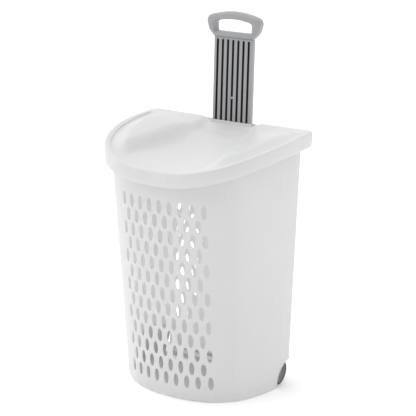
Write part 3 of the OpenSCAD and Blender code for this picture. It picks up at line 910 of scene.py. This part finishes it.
def add_hinge_ears():
    """Knuckle circle and a foot on the wall, hulled; rounded edges."""
    rim = rim_height(HINGE[0], LID["back"])
    wall_y = FOOT["back"] + rim * BACK_SLOPE - WALL
    knuckle = arc(HINGE[1:], KNUCKLE_R, 0, 345, 23)
    foot = np.array([(wall_y, rim - 34), (wall_y + WALL, rim - 34), (wall_y, rim + 8)])
    outline = hull_outline(np.vstack([knuckle, foot]))
    near = LUG_W / 2 + EAR_GAP
    ears = [prism("ear", outline, side * HINGE[0] + start, side * HINGE[0] + start + EAR_W, 0.8)
            for side in (-1, 1) for start in (near, -near - EAR_W)]
    whole = coated(joined("hinge_ears", ears), WHITE)
    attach(whole, "basket_body")


add_hinge_ears()


def brushed_metal(name, colour, rough, scale):
    """Bright drawn steel: fine streaks across the shaft, faint staining."""
    material, skin = shader(name)
    tree = material.node_tree
    place = object_place(tree)
    streak = noise(tree, stretched(tree, place, scale), 60.0, 3.0)
    stain = noise(tree, place, 45.0, 4.0)
    dull = tuple(c * 0.72 for c in colour)
    tint = tinted(tree, ranged(tree, stain, 0.4, 0.7), colour, dull)
    tree.links.new(tint, skin.inputs["Base Color"])
    dull = ranged(tree, streak, 0.3, 0.7, rough - 0.08, rough + 0.12)
    tree.links.new(dull, skin.inputs["Roughness"])
    skin.inputs["Metallic"].default_value = 1.0
    bumped(tree, skin, streak, 0.15, 0.0002)
    return material


STEEL = brushed_metal("drawn_steel", (0.62, 0.62, 0.60), 0.32, (40.0, 3.0, 3.0))


def repainted(node, material):
    """A CAD node keeps its shape and takes a material in place of its own."""
    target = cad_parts[node]
    for slot in target.material_slots:
        slot.material = material
    if not target.material_slots:
        target.data.materials.append(material)


for pin in ("hinge_pin_left", "hinge_pin_right"):
    repainted(pin, STEEL)

# ---------------------------------------------------------------------------------------------
# Lid: a second white moulding, 2.4 mm thick. A deep skirt with a rounded upper edge and a flat
# bead runs round the front and sides; inside a small step the field rises into two domed flanks
# with a fan-shaped dip between them, and a notch in the back edge clears the handle.
# ---------------------------------------------------------------------------------------------
LID_WALL = 2.4
LID_EDGE = 37.0
EDGE_R = 7.0
BEAD_W = 15.0
RING_IN = 19.0
CENTRE = np.array([0.0, 10.0])
NOTCH_HALF, NOTCH_Y = 62.0, 168.0
DOME = {"height": 19.0, "start": 16.0, "width": 44.0, "front_half": 120.0, "back_half": 52.0,
        "slope": 50.0}
STEP_DROP = 3.0
BACK_SKIRT = 6.0


def lid_columns():
    """Right half of the D outline and its inward normals, from front centre to back centre."""
    turn = np.array([LID["half_w"] - LID["corner"], LID["back"] - LID["corner"]])
    bow = bezier((0, -LID["front"]), (47, -LID["front"]),
                 (LID["half_w"] + 25, -LID["front"] - 39), (LID["half_w"], turn[1]), 4000)
    bow = evened(bow, 120)
    run = np.gradient(bow, axis=0)
    run /= np.linalg.norm(run, axis=1, keepdims=True)
    bow_in = np.c_[-run[:, 1], run[:, 0]]
    bow_in[0] = (0, 1)
    angles = np.radians(np.linspace(0, 90, 15))[1:]
    corner = turn + LID["corner"] * np.c_[np.cos(angles), np.sin(angles)]
    corner_in = -np.c_[np.cos(angles), np.sin(angles)]
    x = np.r_[np.linspace(turn[0], NOTCH_HALF + 3, 22)[1:], NOTCH_HALF + 1, NOTCH_HALF + 0.05,
              NOTCH_HALF, NOTCH_HALF - 1, NOTCH_HALF - 3, np.linspace(NOTCH_HALF - 6, 0, 12)]
    back = np.c_[x, np.full(len(x), LID["back"])]
    back_in = np.tile([0.0, -1.0], (len(x), 1))
    return np.vstack([bow, corner, back]), np.vstack([bow_in, corner_in, back_in])


def lid_field(x, y, inward):
    """Height over the rim: edge round, bead, step, domed flanks, fan dip, scoop and finger step."""
    share = np.clip((y + LID["front"]) / (LID["front"] + LID["back"]), 0, 1)
    fan = mix(DOME["front_half"], DOME["back_half"], share)
    flank = smooth((np.abs(x) - fan) / DOME["slope"])
    rise = smooth((inward - DOME["start"]) / DOME["width"]) * (1 - smooth((share - 0.62) / 0.38))
    edge = EDGE_R - np.sqrt(np.maximum(EDGE_R ** 2 - np.clip(EDGE_R - inward, 0, EDGE_R) ** 2, 0))
    sides_only = 1 - smooth((y - 128) / 16)
    step = STEP_DROP * smooth((inward - BEAD_W) / 1.0) * sides_only * (1 - smooth((inward - 24) / 60))
    scoop = LID["scoop"] * (1 - smooth((np.abs(x) - NOTCH_HALF) / 30)) * smooth((y - 90) / 60)
    finger = (2.6 * smooth((54 - np.abs(x)) / 10) * smooth((-139.2 - y) / 1.2)
              * smooth((y + 170) / 22))
    dip = 5.0 * (1 - flank) * rise * smooth((y + 150) / 120) * (1 - smooth((y - 90) / 60))
    return LID_EDGE - edge - step + DOME["height"] * flank * rise - scoop + finger - dip


def lid_ring(columns, inner, inward, under=0.0):
    """Ring of points a distance in from the outline, then drawn towards the middle; under lowers it."""
    offset = np.minimum(inward, RING_IN)
    p = columns + inner * offset
    if inward > RING_IN:
        p = mix(p, CENTRE, inward - RING_IN)
        reach = np.linalg.norm(columns + inner * RING_IN - CENTRE, axis=1)
        distance = RING_IN + reach * (inward - RING_IN)
    else:
        distance = np.full(len(p), inward)
    x, y = p[:, 0], p[:, 1].copy()
    clear = np.abs(columns[:, 0]) <= NOTCH_HALF
    limit = NOTCH_Y - 0.02 * offset - under
    y = np.where(clear & (columns[:, 1] > 100), np.minimum(y, limit), y)
    z = rim_height(x, y) + lid_field(x, y, distance) - under
    return np.stack([x, y, z], -1)


def skirt_foot(columns):
    """Lower edge of the skirt: the rim, running out upwards round the back corners."""
    x, y = columns.T
    share = (y - LID["back"] + LID["corner"]) / (LID["corner"] * 0.8)
    return rim_height(x, y) + (LID["edge"] - BACK_SKIRT) * smooth(share)


def add_lid():
    """Rings from the skirt's foot over the edge to the middle, and back underneath."""
    columns, inner = lid_columns()
    foot = skirt_foot(columns)
    edge = [0, 0.25, 0.9, 2.0, 3.4, 5.0, 7.0, 9.5, 12.5, 14.6, 15.2, 15.7, 16.3, 17.2, 18.3, 19.0]
    field = RING_IN + np.r_[0.012, 0.028, 0.048, 0.07, 0.095, 0.12, 0.14,
                            np.arange(0.152, 0.186, 0.004), 0.2, 0.225, 0.25, 0.28, 0.315, 0.355,
                            0.4, 0.45, 0.51, 0.58, 0.66, 0.75, 0.86, 1.0]
    over = [lid_ring(columns, inner, e) for e in [*edge, *field]]
    under_at = [e for e in [*edge, *field] if e >= LID_WALL and not 14 < e < 18]
    under = [lid_ring(columns, inner, e, LID_WALL) for e in under_at]
    outer = over[0]
    skirt = [np.c_[outer[:, :2], mix(foot, outer[:, 2], k)] for k in (0.03, 0.5, 0.97)]
    lip = [np.c_[lid_ring(columns, inner, e)[:, :2], foot + drop]
           for e, drop in ((LID_WALL, 0.5), (LID_WALL - 0.6, 0.0), (0.6, 0.0))]
    inside = [np.c_[under[0][:, :2], mix(foot + 0.5, under[0][:, 2], k)] for k in (0.5,)]
    rings = np.stack([*under[::-1], *inside, *lip, *skirt, *over])
    sheet = Sheet()
    sheet.both(rings)
    shell = sheet.made("lid_shell", smooth_angle=50)
    rim = rim_height(HINGE[0], HINGE[1])
    head = np.array([(HINGE[1] - KNUCKLE_R, rim + 30), (HINGE[1] + KNUCKLE_R, rim + 33)])
    outline = hull_outline(np.vstack([arc(HINGE[1:], KNUCKLE_R, 0, 345, 23), head]))
    lugs = [prism("lug", outline, side * HINGE[0] - LUG_W / 2, side * HINGE[0] + LUG_W / 2, 0.6)
            for side in (-1, 1)]
    whole = joined("lid_shell", [shell, *lugs])
    coated(whole, WHITE)
    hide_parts("lid")
    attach(whole, "lid_body")


add_lid()

# ---------------------------------------------------------------------------------------------
# Handle guide: a white moulded channel, screwed to the outside of the back wall by flanges on
# both sides, in which the ribbed panel slides.
# ---------------------------------------------------------------------------------------------


def leaning(x, out, up):
    """From the back wall's own axes (across, out from the wall, up along it) to the basket's."""
    x, out, up = np.broadcast_arrays(np.asarray(x, float), out, up)
    return np.stack([x, FOOT["back"] + out * np.cos(LEAN) + up * np.sin(LEAN),
                     up * np.cos(LEAN) - out * np.sin(LEAN)], -1)


def eased_copy(node, name, width):
    """A CAD node's own shape, merged, with its sharp edges rounded off."""
    work = bmesh.new()
    work.from_mesh(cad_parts[node].data)
    bmesh.ops.remove_doubles(work, verts=work.verts, dist=0.00002)
    bmesh.ops.dissolve_limit(work, angle_limit=0.02, verts=work.verts, edges=work.edges)
    mesh = bpy.data.meshes.new(name)
    work.to_mesh(mesh)
    work.free()
    piece = bevelled(linked(name, mesh), width)
    softened(piece)
    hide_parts(node)
    return piece


guide = coated(eased_copy("handle_guide", "guide_channel", 0.7), WHITE)
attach(guide, "basket_body")

# ---------------------------------------------------------------------------------------------
# Screws: pan-head self-tapping screws with a cross recess, six through the guide's flanges and
# two through the back of the grip.
# ---------------------------------------------------------------------------------------------


def revolved(profile, sides=48):
    """Profile of (radius, height) turned round Z; the first and last radius may be zero."""
    a = np.linspace(0, 2 * np.pi, sides + 1)[:-1]
    r, h = np.asarray(profile, float).T
    return np.stack([r[:, None] * np.cos(a), r[:, None] * np.sin(a), h[:, None] + 0 * a], -1)


def screw(x, out, up, length):
    """One screw: domed head with a cut cross, and a plain shank into the moulding."""
    sheet = Sheet()
    sheet.grid(revolved([(0, -length), (1.9, -length + 1), (1.9, 0), (3.9, 0), (3.95, 0.5), (3.6, 1.3),
                         (2.6, 1.9), (1.2, 2.15), (0, 2.2)], 24), close=True)
    body = sheet.made("screw")
    cross = [solid("cut", *box_mesh((-2.1, -0.4, 1.1), (2.1, 0.4, 4))),
             solid("cut", *box_mesh((-0.4, -2.1, 1.1), (0.4, 2.1, 4)))]
    cut_away(body, cross)
    count = len(body.data.vertices)
    co = np.zeros(count * 3)
    body.data.vertices.foreach_get("co", co)
    co = co.reshape(-1, 3) / MM
    placed_at = leaning(x + co[:, 0], out + co[:, 2], up - co[:, 1])
    body.data.vertices.foreach_set("co", (placed_at * MM).ravel())
    return body


GUIDE_TOP, GUIDE_BOTTOM = 612.0, 303.0
GUIDE_HALF = 60.1
PANEL_MID = 20.0
PANEL_TOP = 872.0
heads = [screw(side * (GUIDE_HALF + 6), WALL + 0.3, mix(GUIDE_BOTTOM, GUIDE_TOP, share), 7)
         for side in (-1, 1) for share in (0.06, 0.5, 0.94)]
guide_heads = coated(joined("guide_screw_heads", heads), STEEL)
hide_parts("guide_screws")
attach(guide_heads, "basket_body")
heads = [screw(side * 36, PANEL_MID + 10.5, PANEL_TOP + 7, 12) for side in (-1, 1)]
grip_heads = coated(joined("grip_screw_heads", heads), STEEL)
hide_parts("grip_screws")
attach(grip_heads, "handle")

# ---------------------------------------------------------------------------------------------
# Ribbed panel: a flat grey moulding with seven deep upright round-ended grooves in its front,
# whose insides are painted near-black as shade; it runs down into the guide. A pale stud sits
# in the middle groove.
# ---------------------------------------------------------------------------------------------
PANEL_HALF, PANEL_FRONT, PANEL_BACK = 57.0, 13.0, 27.0
PANEL_BOTTOM = 522.0
GROOVES, GROOVE_PITCH, GROOVE_R, GROOVE_DEPTH = 7, 15.4, 3.2, 6.0
PANEL_EDGE = 1.6


def groove_cell(middle, rows):
    """Loops from a groove's cell in to its round-ended outline, down its walls and over its floor."""
    half = GROOVE_PITCH / 2
    low, high = PANEL_BOTTOM + 14, PANEL_TOP - 8
    right = [(1.0, up) for up in rows]
    left = [(-1.0, up) for up in rows[::-1]]
    across = np.linspace(1, -1, 9)[1:-1]
    top = [(s, rows[-1]) for s in across]
    bottom = [(-s, rows[0]) for s in across]
    edge = np.array(right + top + left + bottom)

    def capsule(grow):
        r = GROOVE_R + grow
        up = np.clip(edge[:, 1], low, high)
        is_top = edge[:, 1] >= rows[-1]
        is_bottom = edge[:, 1] <= rows[0]
        x = edge[:, 0] * r
        z = up.astype(float)
        turn = np.arcsin(np.clip(edge[:, 0], -1, 1))
        x = np.where(is_top | is_bottom, r * np.sin(turn * 0.98), x)
        z = np.where(is_top, high + r * np.cos(turn * 0.98), z)
        z = np.where(is_bottom, low - r * np.cos(turn * 0.98), z)
        return np.stack([x, z], -1)

    loops = [(np.stack([edge[:, 0] * half, edge[:, 1]], -1), 0.0), (capsule(0.7), 0.0),
             (capsule(0.25), 0.12), (capsule(0), 0.5), (capsule(-0.1), GROOVE_DEPTH - 0.8),
             (capsule(-0.35), GROOVE_DEPTH - 0.2), (capsule(-0.9), GROOVE_DEPTH)]
    flat = capsule(-0.9) * [0.0, 1.0]
    loops.append((flat, GROOVE_DEPTH))
    return np.stack([leaning(middle + shape[:, 0], PANEL_FRONT + depth, shape[:, 1])
                     for shape, depth in loops])


def add_panel():
    """Seven groove cells, plain margins, rounded edges, flat back, and the tongue for the grip."""
    rows = np.r_[PANEL_BOTTOM + PANEL_EDGE, PANEL_BOTTOM + 14, np.linspace(PANEL_BOTTOM + 50,
                 PANEL_TOP - 50, 8), PANEL_TOP - 14, PANEL_TOP - 10, PANEL_TOP - 8.01,
                 PANEL_TOP - PANEL_EDGE]
    sheet = Sheet()
    for i in range(GROOVES):
        sheet.grid(groove_cell((i - (GROOVES - 1) / 2) * GROOVE_PITCH, rows), close=True)
    field = GROOVES * GROOVE_PITCH / 2
    for side in (-1, 1):
        x = np.sort([side * field, side * (PANEL_HALF - PANEL_EDGE)])
        sheet.grid(leaning(x[None, :], PANEL_FRONT, rows[:, None]))
    across = np.concatenate([(i - 3) * GROOVE_PITCH + np.linspace(-1, 1, 9) * GROOVE_PITCH / 2
                             for i in range(GROOVES)])
    across = np.unique(np.round(np.r_[-(PANEL_HALF - PANEL_EDGE), across, PANEL_HALF - PANEL_EDGE], 6))
    mid = (rows[0] + rows[-1]) / 2
    loop = np.vstack([np.c_[np.full(len(rows), across[-1]), rows],
                      np.c_[across[::-1][1:-1], np.full(len(across) - 2, rows[-1])],
                      np.c_[np.full(len(rows), across[0]), rows[::-1]],
                      np.c_[across[1:-1], np.full(len(across) - 2, rows[0])]])
    at_side = np.abs(loop[:, 0]) >= across[-1] - 1e-6
    at_top, at_bottom = loop[:, 1] >= rows[-1] - 1e-6, loop[:, 1] <= rows[0] + 1e-6
    out = np.c_[np.where(at_side, np.sign(loop[:, 0]), 0), at_top * 1.0 - at_bottom]
    e = PANEL_EDGE
    deep = PANEL_BACK - PANEL_FRONT
    path = [(0, 0), (e * 0.6, e * 0.12), (e * 0.9, e * 0.45), (e, e), (e, deep - e),
            (e * 0.9, deep - e * 0.45), (e * 0.6, deep - e * 0.12), (0, deep)]
    rings = [leaning(loop[:, 0] + out[:, 0] * grow, PANEL_FRONT + depth, loop[:, 1] + out[:, 1] * grow)
             for grow, depth in path]
    rings.append(leaning(0 * loop[:, 0], PANEL_BACK, mid + 0.98 * (loop[:, 1] - mid)))
    sheet.grid(np.stack(rings), flip=True, close=True)
    panel = sheet.made("ribbed_panel")
    bits = []
    for low, high in (((-45, 16, PANEL_TOP - 2), (45, 24, PANEL_TOP + 13.5)),
                      ((-48, 7.2, PANEL_BOTTOM), (48, 14, PANEL_BOTTOM + 8))):
        points, quads = box_mesh(low, high)
        bits.append(solid("bit", leaning(points[:, 0], points[:, 1], points[:, 2]), quads))
    return joined("ribbed_panel", [panel, *bits])


GREY = moulded_plastic("grey_polypropylene", (0.40, 0.405, 0.415), (0.375, 0.38, 0.39),
                       (0.52, 0.52, 0.52), (0.45, 0.43, 0.40), rough=0.38, peel=0.08)
# Near-black painted shade for the walls and floors of the panel's grooves.
GROOVE_PAINTED_SHADE = moulded_plastic("groove_painted_shade", (0.022, 0.022, 0.025), (0.017, 0.017, 0.02),
                            (0.04, 0.04, 0.04), (0.08, 0.08, 0.07), rough=0.55, peel=0.08)

panel = coated(add_panel(), GREY)
panel.data.materials.append(GROOVE_PAINTED_SHADE)
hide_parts("handle_panel")
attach(panel, "handle")


def grooves_given_painted_shade(piece):
    """Faces deeper than the lip of a groove take the near-black material: painted shade in the grooves.
    """
    x, y, z = (face_vectors(piece, "center") / MM).T
    depth = (y - FOOT["back"]) * np.cos(LEAN) - z * np.sin(LEAN)
    inside = (depth > PANEL_FRONT + 1.2) & (depth < PANEL_FRONT + GROOVE_DEPTH + 0.5)
    inside &= (np.abs(x) < 3.5 * GROOVE_PITCH) & (z < PANEL_TOP - 3) & (z > PANEL_BOTTOM + 9)
    piece.data.polygons.foreach_set("material_index", inside.astype(np.int32))


grooves_given_painted_shade(panel)
STUD = moulded_plastic("pale_stud", (0.62, 0.62, 0.61), (0.58, 0.58, 0.57), (0.5, 0.5, 0.5),
                       (0.5, 0.48, 0.45), rough=0.35)
repainted("detent_stud", STUD)

# ---------------------------------------------------------------------------------------------
# Grip: a grey moulded loop with an arched top and a hand opening, bevelled all round; it takes
# the panel's tongue and is held by two screws from behind.
# ---------------------------------------------------------------------------------------------
GRIP_HALF, GRIP_H, GRIP_T = 81.0, 66.0, 27.0
HAND = {"half": 55.0, "low": 14.0, "high": 47.0, "arch": 190.0}
GRIP_ARCH = 224.0


def eased(points, radii):
    """Closed outline with each corner replaced by a quadratic curve that starts a radius away."""
    points = np.asarray(points, float)
    out = []
    for i, r in enumerate(radii):
        a, b, c = points[i - 1], points[i], points[(i + 1) % len(points)]
        start = b + (a - b) / np.linalg.norm(a - b) * r
        end = b + (c - b) / np.linalg.norm(c - b) * r
        t = np.linspace(0, 1, CORNER_STEPS + 1)[:, None]
        out.append((1 - t) ** 2 * start + 2 * (1 - t) * t * b + t * t * end)
    return np.vstack(out)


def arched(low_points, radii, top, radius, half):
    """Outline closed by an arch of the given radius whose crown is at top."""
    swing = math.degrees(math.asin(half / radius))
    crown = arc((0, top - radius), radius, 90 - swing, 90 + swing, 12)
    points = np.vstack([low_points, crown])
    r = np.r_[radii, np.full(len(crown), 0.01)]
    r[len(radii)], r[-1] = 5.0, 5.0
    return eased(points, r)


def by_angle(outline, centre, angles):
    """Where rays from the centre at the given angles meet a star-shaped outline."""
    rel = outline - centre
    a = np.unwrap(np.arctan2(rel[:, 1], rel[:, 0]))
    if a[-1] < a[0]:
        a, rel = a[::-1], rel[::-1]
    a = np.r_[a, a[0] + 2 * np.pi]
    rel = np.vstack([rel, rel[:1]])
    at = (angles - a[0]) % (2 * np.pi) + a[0]
    return centre + np.c_[np.interp(at, a, rel[:, 0]), np.interp(at, a, rel[:, 1])]


def outward(loop):
    """Unit normals that point out of an anticlockwise loop."""
    run = np.roll(loop, -1, 0) - np.roll(loop, 1, 0)
    run /= np.linalg.norm(run, axis=1, keepdims=True)
    return np.c_[run[:, 1], -run[:, 0]]


def add_grip():
    """Rings round the bar's own section: hand opening, front face, bevels, outside, back face."""
    outer = arched([(-GRIP_HALF, 44), (-GRIP_HALF + 7, 17), (-PANEL_HALF, 0), (PANEL_HALF, 0),
                    (GRIP_HALF - 7, 17), (GRIP_HALF, 44)], [9, 9, 4, 4, 9, 9], GRIP_H, GRIP_ARCH,
                   GRIP_HALF - 9)
    inner = arched([(-HAND["half"], HAND["low"]), (HAND["half"], HAND["low"])], [6, 6],
                   HAND["high"], HAND["arch"], HAND["half"])
    centre = np.array([0.0, 31.0])
    corners = np.concatenate([np.arctan2(*(o - centre).T[::-1]) for o in (outer, inner)])
    angles = np.unique(np.round(np.r_[np.linspace(-np.pi, np.pi, 121)[:-1], corners[::2]], 3))
    rim, hole = by_angle(outer, centre, angles), by_angle(inner, centre, angles)
    rim_out, hole_out = outward(rim), outward(hole)
    near, far = PANEL_MID - GRIP_T / 2, PANEL_MID + GRIP_T / 2
    face = [(hole, hole_out, 0, GRIP_T / 2), (hole, hole_out, 0, 5), (hole, hole_out, 0.7, 2),
            (hole, hole_out, 2.2, 0.4), (hole, hole_out, 3.6, 0), (rim, rim_out, -6.5, 0),
            (rim, rim_out, -5.6, 0.3), (rim, rim_out, -1.2, 4.4), (rim, rim_out, -0.3, 5.6),
            (rim, rim_out, 0, 7.5)]
    section = [(loop, normal, grow, near + deep) for loop, normal, grow, deep in face]
    section += [(loop, normal, grow, far - deep) for loop, normal, grow, deep in face[::-1]]
    rings = []
    for loop, normal, grow, out in section:
        shape = loop + normal * grow
        rings.append(leaning(shape[:, 0], out, PANEL_TOP + shape[:, 1]))
    sheet = Sheet()
    sheet.grid(np.stack(rings), close=True)
    return sheet.made("grip_loop", smooth_angle=30)


grip = coated(add_grip(), GREY)
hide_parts("handle_grip")
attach(grip, "handle")

# ---------------------------------------------------------------------------------------------
# Axle and wheels: a steel rod across the floor; each wheel is a grey moulded disc with turned
# rings and a press-fitted softer tread, kept on by a cap pushed over the rod's end.
# ---------------------------------------------------------------------------------------------
WHEEL_GREY = moulded_plastic("wheel_disc", (0.20, 0.20, 0.205), (0.17, 0.17, 0.175),
                             (0.32, 0.32, 0.32), (0.40, 0.38, 0.34), rough=0.42, peel=0.12)
TREAD = moulded_plastic("wheel_tread", (0.055, 0.055, 0.058), (0.04, 0.04, 0.043),
                        (0.13, 0.13, 0.12), (0.30, 0.28, 0.25), rough=0.62, peel=0.3)
WHEEL_W, WHEEL_FACE, AXLE_R, HUB_R = 24.0, 204.0, 4.0, 28.0


def on_axle(points, side):
    """Turns a shape made round Z onto the axle, outer face outwards."""
    x, y, z = points[..., 0], points[..., 1], points[..., 2]
    return np.stack([side * (WHEEL_FACE - WHEEL_W + z), AXLE_Y + x, AXLE_Z + y * side], -1)


def turned(name, profile, side):
    """Closed profile turned round the axle."""
    sheet = Sheet()
    sheet.grid(on_axle(revolved(profile, 96), side), close=True)
    return sheet.made(name)


def add_wheel(side):
    """Disc with three concentric rings and a boss, and the tread with a rounded crown."""
    label = "left" if side < 0 else "right"
    body = "wheel_left" if side < 0 else "wheel_right"
    rings = [(r, WHEEL_W - 2.2 + 0.55 * math.cos((r - 14.5) / 10.9 * 2 * math.pi * 3))
             for r in np.linspace(25.4, 14.5, 60)]
    bore = AXLE_R + 0.06
    disc = [(bore, -5.4), (AXLE_R + 0.6, -6), (AXLE_R + 4.4, -6), (AXLE_R + 5, -5.4), (9.2, 1.4),
            (HUB_R - 4.6, 2.2), (HUB_R - 4, 1.2), (HUB_R - 0.4, 1), (HUB_R, 1.4),
            (HUB_R, WHEEL_W - 1.4), (HUB_R - 0.5, WHEEL_W - 0.9), (HUB_R - 1.6, WHEEL_W - 1),
            *rings, (13.4, WHEEL_W - 2.6), (12.6, WHEEL_W - 2.1), (10.5, WHEEL_W - 2),
            (bore, WHEEL_W - 2), (bore, -5.4)]
    hub = coated(turned("wheel_disc_" + label, disc, side), WHEEL_GREY)
    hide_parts(f"wheel_{label}_hub")
    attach(hub, body)
    across = np.linspace(-1, 1, 13)
    crown = [(WHEEL_R - 0.5 * t * t - 1.8 * max(0.0, abs(t) - 0.72) ** 2 / 0.0784,
              WHEEL_W / 2 + t * (WHEEL_W / 2 - 0.05)) for t in across]
    tread = [(HUB_R + 0.01, 0.2), (HUB_R + 2.0, 0.0), *crown, (HUB_R + 2.0, WHEEL_W),
             (HUB_R + 0.01, WHEEL_W - 0.4), (HUB_R + 0.01, 0.2)]
    tyre = coated(turned("wheel_tread_" + label, tread, side), TREAD)
    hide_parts(f"wheel_{label}_tyre")
    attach(tyre, body)


for side in (-1, 1):
    add_wheel(side)
repainted("axle", STEEL)
for cap in ("axle_cap_left", "axle_cap_right"):
    repainted(cap, WHEEL_GREY)
